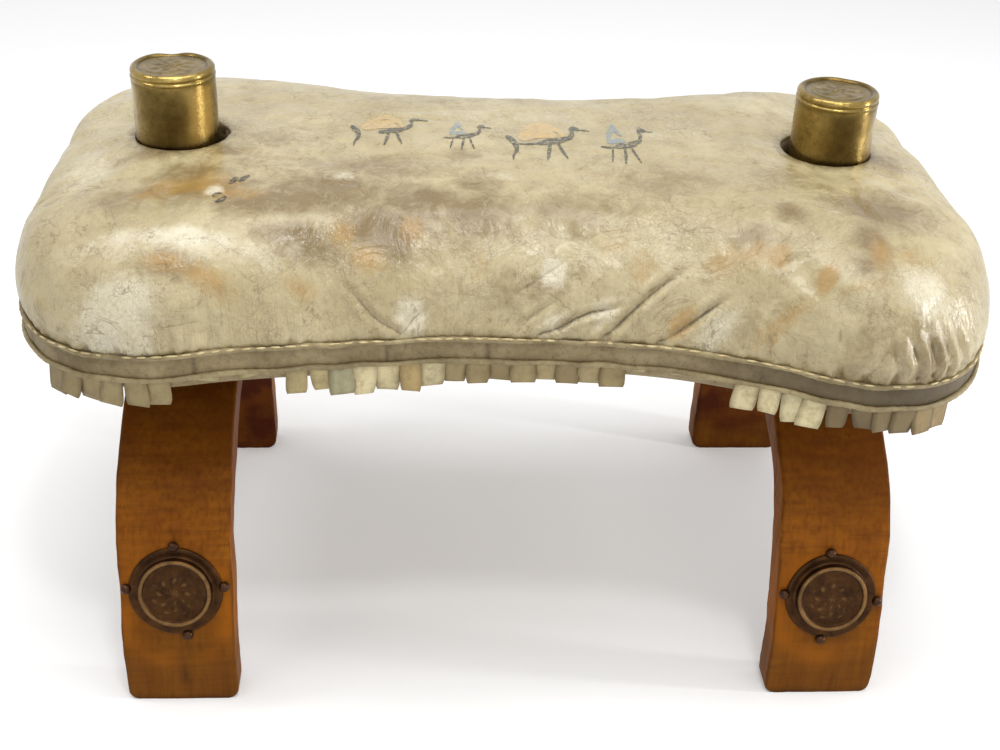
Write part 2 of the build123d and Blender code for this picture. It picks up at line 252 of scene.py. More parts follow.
def raw_leather(name, pale, dark, spot, size=24):
    """Undyed or faded cowhide, matt and handled, with soft blotches and a fine grain."""
    material, shader, _, add, link, (blotch, specks, grain) = new_material(
        name, (size, 7, 0.66), (4.5, 6, 0.75), (1.8, 6, 0.5))
    tone = add("ValToRGB", {"Fac": blotch}, stops=[(0.32, dark), (0.68, pale)])
    dirt_and_shade = add("Attribute", attribute_name="dirt_and_shade").outputs["Fac"]
    link(cover(add, tone, (specks, 0.5, 0.68, 0.6, spot), (dirt_and_shade, 0, 1, 1, "#3E3019")), "Base Color")
    shader.inputs["Roughness"].default_value = 0.62
    height = add("Math", {0: grain, 1: blotch}, operation="ADD")
    link(add("Bump", {"Height": height, "Strength": 0.4, "Distance": 0.0006}), "Normal")
    return material


def strip_leather(name):
    """Thin soft hide cut in strips, each its own shade from cream to grey green, browner at the tips."""
    material, shader, _, add, link, (blotch, grain) = new_material(name, (8, 6, 0.7), (1.2, 5, 0.5))
    tint = add("Attribute", attribute_name="tint").outputs["Fac"]
    tone = add("ValToRGB", {"Fac": tint}, stops=[
        (0.0, "#97845A"), (0.2, "#A8966A"), (0.4, "#C4B27E"), (0.6, "#ACA784"), (0.8, "#EADAAA"),
        (1.0, "#BFA36C")])
    dirt_and_shade = add("Attribute", attribute_name="dirt_and_shade").outputs["Fac"]
    link(cover(add, tone, (blotch, 0.45, 0.7, 0.55, "#7A6844"), (dirt_and_shade, 0, 1, 1, "#5A4828")), "Base Color")
    shader.inputs["Roughness"].default_value = 0.6
    link(add("Bump", {"Height": grain, "Strength": 0.35, "Distance": 0.0004}), "Normal")
    return material


def oiled_hardwood(name, pale, mid, dark, shade_top=True):
    """Bent hardwood, stained orange brown and oiled: long grain, short cross flecks, painted shade at foot
    and top, grime at the top.
    """
    material, shader, place, add, link, (warp, cloud) = new_material(name, (70, 3, 0.5), (38, 5, 0.5))
    moved = add("VectorMath", {0: warp.outputs["Color"], "Scale": 0.006}, operation="SCALE")
    moved = add("VectorMath", {0: place, 1: moved}, operation="ADD")
    long_way = add("Mapping", {"Vector": moved, "Scale": (1.0, 1.0, 0.045)})
    grain = add("TexNoise", {"Vector": long_way, "Scale": per_mm(3.2), "Detail": 8.0, "Roughness": 0.62})
    broad = add("TexNoise", {"Vector": long_way, "Scale": per_mm(17), "Detail": 4.0})
    cross_way = add("Mapping", {"Vector": moved, "Scale": (0.09, 0.09, 1.0)})
    fleck = add("TexNoise", {"Vector": cross_way, "Scale": per_mm(4.0), "Detail": 5.0, "Roughness": 0.6})
    tone = add("ValToRGB", {"Fac": broad}, stops=[(0.3, mid), (0.7, pale)])
    height = add("SeparateXYZ", {"Vector": place}).outputs["Z"]
    # Grain, cross flecks and blotches; then painted shade, darker towards the foot and darker at the top
    # under the cushion, where there is grime too
    layers = [(grain, 0.46, 0.66, 0.42, dark), (fleck, 0.46, 0.66, 0.36, dark), (cloud, 0.5, 0.72, 0.5, mid)]
    if shade_top:
        layers += [(height, 0.11, 0.05, 0.55, "#573402"), (height, 0.12, 0.205, 0.62, dark)]
    tone = cover(add, tone, *layers)
    # A painted orange highlight and rubbed varnish ring the medallions, painted shade and unpolished wood
    # darken the inner faces, and grime sits along the edges and the foot
    for attribute, shade, most in (("varnish_and_sheen", "#A85F0C", 0.5), ("inner", "#451502", 0.94),
                                   ("dirt_and_shade", "#2E1504", 0.85)):
        painted = add("Attribute", attribute_name=attribute).outputs["Fac"]
        mask = add("MapRange", {"Value": cloud, "From Min": 0.3, "From Max": 0.6, "To Max": most})
        mask = add("Math", {0: painted, 1: mask}, operation="MULTIPLY")
        tone = cover(add, tone, (mask, 0, 1, 1, shade))
    link(tone, "Base Color")
    link(add("MapRange", {"Value": grain, "From Min": 0.3, "From Max": 0.7, "To Min": 0.5,
                          "To Max": 0.7}), "Roughness")
    shader.inputs["Specular IOR Level"].default_value = 0.1
    relief = add("Math", {0: grain, 1: fleck}, operation="ADD")
    link(add("Bump", {"Height": relief, "Strength": 0.35, "Distance": 0.0006}), "Normal")
    return material


def aged_brass(name):
    """Spun sheet brass, once polished: golden, with brown tarnish, darker spots and upright scratches, a
    painted dark reflection and a painted highlight.
    """
    material, shader, place, add, link, (cloud, spots) = new_material(name, (26, 6, 0.62), (7, 7, 0.75))
    tone = add("ValToRGB", {"Fac": cloud}, stops=[(0.3, "#746032"), (0.7, "#AF9658")])
    # Tarnish darkens the brass, and so does a painted dark reflection down the front of the caps
    dirt_and_shade = add("Attribute", attribute_name="dirt_and_shade").outputs["Fac"]
    # A painted highlight, as a pale brass colour, lightens the right side of the left cap
    worn = add("Attribute", attribute_name="worn").outputs["Fac"]
    link(cover(add, tone, (spots, 0.5, 0.72, 0.8, "#54401C"), (dirt_and_shade, 0, 1, 1, "#3A2A12"),
               (worn, 0, 1, 1, "#D2B36C")), "Base Color")
    shader.inputs["Metallic"].default_value = 1.0
    upright = add("Mapping", {"Vector": place, "Scale": (1.0, 1.0, 0.05)})
    scratch = add("TexNoise", {"Vector": upright, "Scale": per_mm(0.9), "Detail": 6.0})
    dull = add("MapRange", {"Value": spots, "From Min": 0.35, "From Max": 0.7, "To Min": 0.13,
                            "To Max": 0.32})
    link(add("Math", {0: scratch, 1: 0.08, 2: dull}, operation="MULTIPLY_ADD"), "Roughness")
    # Turned on a lathe: fine rings draw each highlight out along the axis
    link(add("Tangent", direction_type="RADIAL", axis="Z"), "Tangent")
    shader.inputs["Anisotropic"].default_value = 0.65
    shader.inputs["Anisotropic Rotation"].default_value = 0.25
    relief = add("Math", {0: scratch, 1: spots}, operation="ADD")
    link(add("Bump", {"Height": relief, "Strength": 0.16, "Distance": 0.0004}), "Normal")
    return material


def patinated_bronze(name, pale, dark, rough):
    """Cast metal with an olive brown patina, rubbed brighter on what stands proud."""
    material, shader, _, add, link, (cloud, pits) = new_material(name, (9, 7, 0.7), (2.2, 6, 0.5))
    tone = add("ValToRGB", {"Fac": cloud}, stops=[(0.34, dark), (0.66, pale)])
    rubbed = add("Attribute", attribute_name="rubbed").outputs["Fac"]
    mask = add("MapRange", {"Value": cloud, "From Min": 0.3, "From Max": 0.6, "To Min": 0.35,
                            "To Max": 1.0})
    mask = add("Math", {0: rubbed, 1: mask}, operation="MULTIPLY")
    link(cover(add, tone, (mask, 0, 1, 1, "#83633A")), "Base Color")
    shader.inputs["Metallic"].default_value = 0.85
    shader.inputs["Roughness"].default_value = rough
    link(add("Bump", {"Height": pits, "Strength": 0.35, "Distance": 0.0005}), "Normal")
    return material


def cotton_wadding(name):
    """Loose cotton waste, off white; it never shows, but fills the cushion."""
    material, shader, _, add, link, (fluff,) = new_material(name, (5, 6, 0.5))
    link(add("ValToRGB", {"Fac": fluff}, stops=[(0.3, "#B9B09A"), (0.7, "#E2DCCB")]), "Base Color")
    shader.inputs["Roughness"].default_value = 0.95
    return material


# Outline of the cushion

def circle_through(a, b, c):
    """Centre and radius of the circle through three points."""
    ab, ac = b - a, c - a
    twice = 2 * (ab.x * ac.y - ab.y * ac.x)
    centre = a + Vector((ac.y * ab.length_squared - ab.y * ac.length_squared,
                         ab.x * ac.length_squared - ac.x * ab.length_squared)) / twice
    return centre, (a - centre).length


def arc(centre, start, end, count=40):
    """Points along the shorter arc from start to end."""
    first, last = start - centre, end - centre
    turn = math.atan2(first.x * last.y - first.y * last.x, first.dot(last))
    return [centre + Matrix.Rotation(turn * k / count, 2) @ first for k in range(count)]


def rounded_corner(waist, end, corner):
    """Where the rounding of a corner leaves the drawn-in side, where it joins the end, and its centre."""
    (waist_centre, waist_radius), (end_centre, end_radius) = waist, end
    both = geometry.intersect_sphere_sphere_2d(
        waist_centre, waist_radius + corner_radius, end_centre, end_radius - corner_radius)
    centre = min(both, key=lambda p: (p - corner).length)
    leaves = waist_centre + (centre - waist_centre).normalized() * waist_radius
    joins = end_centre + (centre - end_centre).normalized() * end_radius
    return leaves, joins, centre


def half_outline(side):
    """The front or rear half of the outline, from the left end's middle to the right end's."""
    corner_x = half_length - end_bulge
    depths = {(-1, -1): near_corner_half_depth, (-1, 1): corner_half_depth,
              (1, -1): corner_half_depth, (1, 1): near_corner_half_depth}
    ends = {
        x: circle_through(Vector((x * corner_x, -depths[-1, x])), Vector((x * half_length, 0)),
                          Vector((x * corner_x, depths[1, x])))
        for x in (-1, 1)
    }
    corners = {x: Vector((x * corner_x, side * depths[side, x])) for x in (-1, 1)}
    waist = circle_through(corners[-1], Vector((0, side * waist_half_depth)), corners[1])
    left_leaves, left_joins, left_centre = rounded_corner(waist, ends[-1], corners[-1])
    right_leaves, right_joins, right_centre = rounded_corner(waist, ends[1], corners[1])
    return [
        *arc(ends[-1][0], Vector((-half_length, 0)), left_joins),
        *arc(left_centre, left_joins, left_leaves),
        *arc(waist[0], left_leaves, right_leaves),
        *arc(right_centre, right_leaves, right_joins),
        *arc(ends[1][0], right_joins, Vector((half_length, 0))),
        Vector((half_length, 0)),
    ]


def lengths(line):
    """How far along a line each of its points lies."""
    return np.concatenate([[0], np.cumsum(np.linalg.norm(np.diff(line, axis=0), axis=1))])


def place_along(line, along, spot):
    """The place at a distance along a line."""
    return Vector([np.interp(spot, along, line[:, k]) for k in range(3)])


def evenly(points, count):
    """As many points, evenly spaced along a line through the given ones, ends included."""
    line = np.array([list(p) for p in points])
    along = lengths(line)
    wanted = np.linspace(0, along[-1], count)
    return np.stack([np.interp(wanted, along, line[:, k]) for k in range(line.shape[1])], axis=1)


def outline(count):
    """The whole outline, its outward directions, and the points of the long axis that it closes on."""
    half = count // 2
    front = evenly(half_outline(-1), half + 1)
    rear = evenly(half_outline(1), half + 1)
    whole = np.concatenate([front, rear[1:-1][::-1]])
    tangent = np.roll(whole, -1, axis=0) - np.roll(whole, 1, axis=0)
    tangent /= np.linalg.norm(tangent, axis=1)[:, None]
    outward = np.stack([tangent[:, 1], -tangent[:, 0]], axis=1)
    middle = np.clip((front[:, 0] + rear[:, 0]) / 2, -hole_x, hole_x)
    axis_x = np.concatenate([middle, middle[1:-1][::-1]])
    return whole, outward, np.stack([axis_x, np.zeros(count)], axis=1)


def way_in(whole, middle):
    """Directions from the outline to the long axis, and how far it is."""
    gap = middle - whole
    far = np.linalg.norm(gap, axis=1)
    return gap / far[:, None], far


def fade(value, start, end):
    """0 before start and 1 past end, smoothly between."""
    t = np.clip((value - start) / (end - start), 0, 1)
    return t * t * (3 - 2 * t)


def settle(points):
    """Puts the lean and the droop of years of use into points of the cushion, in millimetres."""
    p = np.array(points, float)
    x, y, z = p[:, 0], p[:, 1], p[:, 2]
    lift = np.clip((z - upper_seam) / crown_rise, 0, 1)
    right_front = np.exp(-((x - 285) / 105) ** 2 - ((y + 185) / 95) ** 2)
    left_front = np.exp(-((x + 290) / 80) ** 2 - ((y + 165) / 90) ** 2)
    p[:, 2] -= (12 * right_front + 4 * left_front) * (1 - 0.75 * lift)
    p[:, 1] -= 5 * right_front
    p[:, 0] -= 9 * fade(x, 130, 310) * (1 - 0.75 * right_front * (1 - lift)) + 5 * left_front * (1 - lift)
    wave = np.sin(x / 47 + 0.8) + 0.6 * np.sin(x / 23 + y / 60)
    p[:, 2] += 0.7 * wave * (1 - lift)
    return p


# Mesh helpers

def draw_out(bm, edges):
    """Extrudes edges. Returns the fresh vertices and the edges between them."""
    made = bmesh.ops.extrude_edge_only(bm, edges=edges)["geom"]
    fresh = {g for g in made if isinstance(g, bmesh.types.BMVert)}
    between = [g for g in made if isinstance(g, bmesh.types.BMEdge) and set(g.verts) <= fresh]
    return fresh, between


def loft(rings, closed=False):
    """A bmesh skin over rings of points, each ring drawn out of the one before it."""
    bm = bmesh.new()
    column = bm.verts.layers.int.new("column")
    row = bm.verts.layers.int.new("row")
    first = bmesh.ops.create_circle(bm, segments=len(rings[0]))["verts"]
    for index, vert in enumerate(first):
        vert[column] = index
        vert.co = rings[0][index]
    edges = list(bm.edges)
    for number, ring in enumerate(rings[1:], 1):
        fresh, edges = draw_out(bm, edges)
        for vert in fresh:
            vert.co = ring[vert[column]]
            vert[row] = number
    if closed:
        ends = [e for e in bm.edges if e.is_boundary]
        bmesh.ops.bridge_loops(bm, edges=ends)
    return bm


def to_object(bm, name, material):
    """Turns a bmesh in millimetres into an object in metres."""
    bmesh.ops.scale(bm, vec=(MM, MM, MM), verts=bm.verts)
    mesh = bpy.data.meshes.new(name)
    bm.to_mesh(mesh)
    bm.free()
    for face in mesh.polygons:
        face.use_smooth = True
    made = bpy.data.objects.new(name, mesh)
    bpy.context.scene.collection.objects.link(made)
    if material:
        mesh.materials.append(material)
    return made


def places(piece):
    """The vertices of a piece, in millimetres."""
    co = np.zeros(len(piece.data.vertices) * 3)
    piece.data.vertices.foreach_get("co", co)
    return co.reshape(-1, 3) / MM


def put_back(piece, points):
    piece.data.vertices.foreach_set("co", (points * MM).astype(np.float32).ravel())
    piece.data.update()


def directions(piece):
    """The vertex normals of a piece."""
    found = np.zeros(len(piece.data.vertices) * 3)
    piece.data.vertices.foreach_get("normal", found)
    return found.reshape(-1, 3)


def paint_attribute(piece, name, values):
    """Writes one value a vertex, for the material to read."""
    layer = piece.data.attributes.get(name) or piece.data.attributes.new(name, "FLOAT", "POINT")
    layer.data.foreach_set("value", np.clip(values, 0, 1).astype(np.float32))


def unevenness(points, size, seed=0.0):
    """Smooth noise from -1 to 1 at points in millimetres, with lumps of about a size."""
    return np.array([noise.noise(Vector(p) / size + Vector((seed, 1.7 * seed, 0))) for p in points])


def finish_shape(piece, levels):
    """Subdivides a piece and applies it, so that later work is on the fine mesh."""
    modifier = piece.modifiers.new("fine", "SUBSURF")
    modifier.levels = levels
    modifier.render_levels = levels
    made = bpy.data.meshes.new_from_object(piece.evaluated_get(bpy.context.evaluated_depsgraph_get()))
    piece.modifiers.clear()
    piece.data = made


def face_outward(bm, up):
    """Makes the faces agree, then turns them over if they look the wrong way."""
    bmesh.ops.recalc_face_normals(bm, faces=bm.faces)
    total = sum((f.normal * f.calc_area() for f in bm.faces), Vector())
    if total.dot(Vector(up)) < 0:
        bmesh.ops.reverse_faces(bm, faces=bm.faces)


# Cushion: top panel

top_columns = 384
# The crown's profile from seam to top, as shares of its inset and of its rise
crown_profile = ((0.02, -0.03), (0.0, 0.01), (-0.018, 0.14), (-0.01, 0.3), (0.03, 0.46), (0.09, 0.61),
                 (0.18, 0.74), (0.32, 0.85), (0.53, 0.915), (0.78, 0.945), (1, 0.95))
middle_profile = ((0.02, -0.03), (0.0, 0.01), (-0.008, 0.135), (0.006, 0.285), (0.05, 0.44), (0.125, 0.59),
                  (0.23, 0.725), (0.375, 0.835), (0.575, 0.9), (0.8, 0.94), (1, 0.95))
crown_rings = 36
inner_rings = 10
cloth_frames = 20


def smooth_line(points, count):
    """Points along a smooth line through the given ones, evenly spaced."""
    ends = [2 * np.array(points[0]) - np.array(points[1]), *map(np.array, points),
            2 * np.array(points[-1]) - np.array(points[-2])]
    line = []
    for a, b, c, d in zip(ends, ends[1:], ends[2:], ends[3:]):
        for t in np.linspace(0, 1, 16, endpoint=False):
            line.append(0.5 * (2 * b + (c - a) * t + (2 * a - 5 * b + 4 * c - d) * t ** 2
                               + (3 * b - a - 3 * c + d) * t ** 3))
    return evenly([*line, ends[-2]], count)


def top_rings():
    """Rings of the top panel, from its seam to the long axis."""
    whole, _, middle = outline(top_columns)
    inward, far = way_in(whole, middle)
    reach = np.minimum(crown_inset, 0.94 * far)
    rings = []
    central = np.exp(-(whole[:, 0] / 170) ** 4)[:, None]
    lines = [smooth_line([(a * crown_inset, b * crown_rise) for a, b in profile], crown_rings)
             for profile in (crown_profile, middle_profile)]
    for at_end, at_middle in zip(*lines):
        inset, rise = (at_end + central * (at_middle - at_end)).T
        plan = whole + inward * (inset / crown_inset * reach)[:, None]
        rings.append(np.column_stack([plan, upper_seam + rise]))
    edge = rings[-1][:, :2]
    for k in range(1, inner_rings + 1):
        share = k / inner_rings
        plan = edge + (middle - edge) * share
        height = upper_seam + 0.95 * crown_rise + fade(share, 0, 1)
        rings.append(np.column_stack([plan, np.full(top_columns, height)]))
    return [settle(ring) for ring in rings]


def swell(piece, pinned, pressure, excess, cap):
    """Fills a leather skin like a cushion: cloth with pressure, held where it is sewn."""
    start = places(piece)
    group = piece.vertex_groups.new(name="sewn")
    group.add([int(i) for i in np.nonzero(pinned)[0]], 1.0, "REPLACE")
    modifier = piece.modifiers.new("leather", "CLOTH")
    modifier.point_cache.frame_start = 1
    modifier.point_cache.frame_end = cloth_frames
    cloth = modifier.settings
    cloth.quality = 5
    cloth.mass = 0.6
    cloth.tension_stiffness = 25
    cloth.compression_stiffness = 25
    cloth.shear_stiffness = 12
    cloth.bending_stiffness = 1.2
    cloth.air_damping = 2
    cloth.vertex_group_mass = "sewn"
    cloth.pin_stiffness = 1
    cloth.use_pressure = True
    cloth.uniform_pressure_force = pressure
    cloth.shrink_min = -excess
    cloth.effector_weights.gravity = 0
    modifier.collision_settings.use_collision = False
    scene = bpy.context.scene
    for number in range(1, cloth_frames + 1):
        scene.frame_set(number)
    settled = piece.evaluated_get(bpy.context.evaluated_depsgraph_get())
    co = np.zeros(len(settled.data.vertices) * 3)
    settled.data.vertices.foreach_get("co", co)
    moved = co.reshape(-1, 3) / MM - start
    far = np.linalg.norm(moved, axis=1)[:, None]
    put_back(piece, start + moved * cap / np.sqrt(cap ** 2 + far ** 2))
    piece.modifiers.clear()
    piece.vertex_groups.clear()
    scene.frame_set(1)


def near_holes(points):
    """Distance of points from the middle of the nearer post hole, seen from above."""
    return np.hypot(np.abs(points[:, 0]) - hole_x, points[:, 1])


# Folds of the top: a line of places each, then its depth and its half width
folds = (
    (((-72, -150, 280), (-88, -150, 292), (-100, -148, 306), (-116, -143, 322)), 1.6, 1.9),
    (((-70, -150, 281), (-62, -149, 292), (-48, -148, 303)), 1.2, 1.7),
    (((-1, -149, 282), (9, -149, 293), (22, -149, 303), (36, -147, 315)), 1.2, 1.8),
    (((0, -145, 309), (14, -141, 319), (40, -128, 335)), 1.2, 2.6),
    (((4, -149, 290), (20, -150, 300)), 0.8, 1.6),
    (((14, -149, 279), (31, -151, 289), (44, -151, 296), (64, -152, 302), (78, -150, 308)), 2.4, 1.8),
    (((26, -150, 284), (40, -148, 300), (48, -147, 308)), 1.0, 1.7),
    (((56, -154, 281), (68, -154, 296), (78, -153, 308), (92, -148, 320), (112, -142, 332)), 2.8, 2.0),
    (((88, -157, 279), (103, -160, 292), (119, -160, 305), (138, -158, 320)), 2.4, 2.0),
    (((44, -152, 280), (52, -152, 292)), 1.0, 1.6), (((160, -152, 336), (188, -146, 344)), 0.8, 2.0),
    (((118, -163, 279), (121, -163, 300)), 1.0, 1.8), (((140, -164, 280), (146, -160, 310)), 1.1, 2.0),
    (((155, -171, 278), (154, -169, 300)), 1.3, 2.0), (((176, -177, 276), (172, -172, 308)), 1.3, 2.2),
    (((197, -184, 272), (195, -178, 300), (192, -172, 318)), 1.3, 2.4),
    (((214, -186, 270), (209, -181, 304)), 1.1, 2.4),
    (((232, -187, 268), (228, -185, 288), (221, -182, 306)), 1.3, 2.4),
    (((246, -187, 268), (241, -185, 288), (231, -182, 306)), 2.0, 2.4),
    (((258, -183, 268), (252, -181, 290), (243, -177, 308)), 2.5, 2.4),
    (((268, -178, 270), (262, -176, 290), (254, -172, 306)), 2.2, 2.3),
    (((278, -171, 270), (271, -171, 292), (263, -169, 308)), 1.8, 2.3),
    (((286, -160, 272), (279, -164, 300)), 1.8, 2.2),
    (((-96, 38, 351), (-46, 34, 351), (4, 23, 351)), 1.0, 2.6),
    (((-262, -178, 276), (-254, -166, 300)), 1.2, 2.4), (((-284, -164, 276), (-268, -154, 304)), 1.4, 2.4),
    (((-298, -146, 277), (-284, -136, 304)), 1.2, 2.4), (((-236, -184, 276), (-232, -172, 300)), 1.0, 2.4),
    (((-30, -147, 278), (-26, -146, 300)), 0.8, 2.0), (((-140, -156, 278), (-146, -150, 306)), 0.9, 2.2),
    (((-60, 148, 280), (-40, 140, 316)), 1.6, 2.4), (((20, 148, 280), (44, 138, 320)), 1.8, 2.4),
    (((90, 152, 280), (110, 142, 318)), 1.4, 2.4), (((-240, 206, 278), (-228, 190, 312)), 1.9, 2.6),
    (((-266, 200, 278), (-250, 184, 310)), 2.1, 2.6), (((-288, 184, 278), (-272, 170, 308)), 1.8, 2.6),
    (((250, 184, 278), (238, 168, 312)), 1.8, 2.6), (((274, 172, 278), (260, 158, 310)), 1.6, 2.6),
)


def along_line(points, line):
    """Distance of points from a line through a few places, and how far along it each lies, 0 to 1."""
    best = np.full(len(points), 1e9)
    share = np.zeros(len(points))
    count = len(line) - 1
    for k, (a, b) in enumerate(zip(line, line[1:])):
        way = b - a
        t = np.clip((points - a) @ way / (way @ way), 0, 1)
        far = np.linalg.norm(points - a - t[:, None] * way, axis=1)
        nearer = far < best
        best[nearer] = far[nearer]
        share[nearer] = (k + t[nearer]) / count
    return best, share


def furrow(distance, width):
    """A fold's cross section: a groove with a low swelling on either side."""
    swelling = 0.42 * np.exp(-((distance - 2.5 * width) / (1.3 * width)) ** 2)
    return np.exp(-(distance / width) ** 1.3) - swelling


def press_folds(points, normals):
    """Presses the folds into the top. Returns the points and the painted shade, with grime, in each fold."""
    sunk = np.zeros(len(points))
    dark = np.zeros(len(points))
    for line, depth, width in folds:
        given = np.array(line, float)
        on_top = [points[np.argmin(((points - place) ** 2).sum(1))] for place in given]
        smooth = smooth_line(on_top, 9)
        distance, share = along_line(points, smooth)
        held = 1 - fade(share, 0.45, 1.0)
        sunk += depth * held * furrow(distance, width)
        # Each crease is darkened, more where it is deeper: painted shade, with grime
        dark = np.maximum(dark, min(1.2, depth / 1.8) * held * np.exp(-(distance / (0.55 * width)) ** 2))
    return points - normals * sunk[:, None], dark


def gather_seam(points, normals):
    """Small puckers where the top is drawn into its seam. Returns the distance from the seam too."""
    count = 2600
    line = seam_line(count, upper_seam)
    along = lengths(line)
    tree = kdtree.KDTree(count)
    for index, place in enumerate(line):
        tree.insert(place, index)
    tree.balance()
    found = [tree.find(place)[1:] for place in points]
    index = np.array([f[0] for f in found])
    distance = np.array([f[1] for f in found])
    here = along[index]
    draw = random.Random(21)
    sunk = np.zeros(len(points))
    place = 0.0
    while place < along[-1]:
        spot = line[np.searchsorted(along, place) % count]
        strong = 1 + 0.9 * math.exp(-((spot[0] - 240) / 90) ** 2) * (spot[1] < 0)
        strong += 0.6 * math.exp(-((spot[0] + 270) / 60) ** 2)
        depth = draw.uniform(0.2, 0.9) * strong
        reach = draw.uniform(8, 32)
        width = draw.uniform(1.6, 2.8)
        across = here - place - draw.uniform(-0.35, 0.35) * distance
        sunk += depth * furrow(np.abs(across), width) * (1 - fade(distance, 0.25 * reach, reach))
        place += draw.uniform(5, 15)
    sunk *= fade(distance, 0, 3)
    return points - normals * sunk[:, None], distance, here / along[-1]


# Marks of wear, painted highlights and painted shade as seen from above: place along and across, reach along
# and across, and strength
stains_and_shade = (
    (-163, -100, 40, 24, 1.0), (-118, -84, 46, 30, 1.2), (-86, -112, 30, 18, 1.2), (-60, -95, 34, 24, 1.1),
    (-134, -124, 40, 13, 1.0), (-28, -100, 46, 26, 1.0), (-24, -74, 22, 18, 0.9), (-29, -34, 20, 14, 0.7),
    (-248, -96, 28, 26, 0.8), (-205, -64, 36, 20, 1.0), (-190, -90, 30, 18, 0.8), (172, -112, 16, 14, 1.0),
    (232, -100, 38, 34, 1.1), (218, -140, 14, 28, 1.1), (146, -128, 20, 14, 0.8), (40, -100, 60, 22, 0.75),
    (-170, -40, 50, 24, 0.7), (-90, -52, 60, 26, 0.85), (-213, -150, 26, 9, 0.9), (100, -70, 60, 34, 0.65),
    (-60, 80, 110, 30, 0.5), (90, 96, 60, 26, 0.45), (-240, 60, 34, 40, 0.5), (250, 40, 38, 54, 0.6),
    (-150, -10, 34, 22, 0.6), (60, -40, 40, 18, 0.5), (0, -135, 70, 9, 0.6), (180, -60, 40, 36, 0.6),
    (252, -184, 22, 10, 0.9), (206, -186, 22, 8, 0.7), (150, -162, 26, 7, 0.5), (-186, -32, 16, 12, 1.0),
    (-240, -34, 30, 10, 0.8), (262, -20, 18, 26, 0.8), (-270, -176, 18, 8, 0.8),
    (-196, -86, 42, 20, 1.15), (-236, -88, 34, 16, 0.95), (-150, -100, 30, 16, 1.3), (-130, -82, 34, 14, 1.3),
    (-79, -114, 20, 16, 1.2), (25, -132, 16, 10, 0.6), (211, -158, 14, 12, 0.9),
    # Painted shade on the lower front of the right corner, where it droops
    (236, -186, 46, 10, 0.7),
)
scuffs = (
    (128, -138, 14, 9, 0.9), (146, -139, 14, 8, 0.9), (160, -142, 9, 7, 1.4), (78, -134, 12, 9, 0.8),
    (187, -160, 7, 6, 1.5), (102, -154, 9, 4, 1.5), (-94, -127, 13, 7, 1.1), (-66, -112, 10, 8, 1.0),
    (-24, -128, 12, 8, 0.6), (221, -150, 8, 16, 1.0), (164, -166, 28, 4, 0.8), (-189, -152, 20, 6, 1.0),
    (-134, -142, 14, 5, 0.8), (-109, -118, 10, 8, 1.0), (60, -120, 20, 10, 0.6), (-215, -149, 14, 6, 1.2),
    (-200, -70, 22, 10, 0.8), (240, -150, 20, 8, 0.7), (210, -168, 26, 4, 0.7),
    (-204, -80, 34, 14, 1.15), (-180, -92, 26, 10, 1.0), (-232, -92, 24, 10, 0.8),
)
# Paler rubbed places; the strong small blots along the front, at the left end, in the middle and at the right
# corner, are painted highlights
pale_rubs_and_highlights = (
    (123, -159, 16, 5, 0.9), (246, -168, 20, 13, 1.2), (-243, -163, 26, 9, 1.4), (-240, -134, 22, 10, 0.8),
    (-205, -134, 32, 9, 1.3), (-158, -136, 22, 8, 0.7), (-66, -143, 11, 5, 1.2), (23, -130, 8, 6, 1.7),
    (24, -146, 14, 4, 0.8), (54, -146, 14, 5, 0.8), (-9, -66, 20, 8, 0.6), (-20, 40, 110, 24, 0.5),
    (100, 10, 70, 24, 0.45), (-230, 20, 30, 40, 0.4), (-110, -66, 12, 7, 0.8), (-140, -130, 12, 8, 0.7),
    (200, -110, 14, 9, 0.5), (-190, -90, 6, 8, 1.4), (-278, -40, 26, 46, 0.75), (-262, -164, 30, 12, 0.6),
    (-250, -176, 26, 8, 0.7), (280, -40, 20, 50, 0.5), (-282, 60, 24, 60, 0.5),
)


def blots(points, table):
    """The strength, at each point, of soft round blots in a table."""
    total = np.zeros(len(points))
    for x, y, wide, deep, strength in table:
        near = ((points[:, 0] - x) / wide) ** 2 + ((points[:, 1] - y) / deep) ** 2
        total = np.maximum(total, strength * np.exp(-near))
    return total


def hole_reach(side, angle):
    """How far a post hole reaches from its middle in a direction: the left one fits close, but is torn."""
    if side > 0:
        return hole_radius + 0.4 * math.sin(3 * angle)
    tear = math.exp(-((angle + 0.15) / 0.42) ** 2)
    return hole_radius - 0.6 + 0.4 * math.sin(2 * angle) + (2.6 + 0.9 * math.sin(9 * angle)) * tear


def cut_holes(piece):
    """Opens the post holes and turns the leather's edge down into them."""
    bm = bmesh.new()
    bm.from_mesh(piece.data)
    for side in (-1, 1):
        middle = Vector((side * hole_x * MM, 0))

        def past_edge(vert):
            away = vert.co.xy - middle
            return away.length / MM - hole_reach(side, math.atan2(away.y, away.x))

        inside = [v for v in bm.verts if past_edge(v) < -0.5 and v.co.z > upper_seam * MM]
        bmesh.ops.delete(bm, geom=inside, context="VERTS")
        rim = [e for e in bm.edges if e.is_boundary and max(past_edge(v) for v in e.verts) < 9]
        for vert in {v for e in rim for v in e.verts}:
            away = (vert.co.xy - middle).normalized()
            away *= hole_reach(side, math.atan2(away.y, away.x)) * MM
            vert.co.x, vert.co.y = middle.x + away.x, middle.y + away.y
        for inward, down in ((0.3, 0.5), (0.3, 1.1), (0.0, 2.4), (0.0, 3.0)):
            fresh, rim = draw_out(bm, rim)
            for vert in fresh:
                toward = (middle - vert.co.xy).normalized() * inward * MM
                vert.co.x += toward.x
                vert.co.y += toward.y
                vert.co.z -= down * MM
    bm.normal_update()
    bm.to_mesh(piece.data)
    bm.free()
    for face in piece.data.polygons:
        face.use_smooth = True


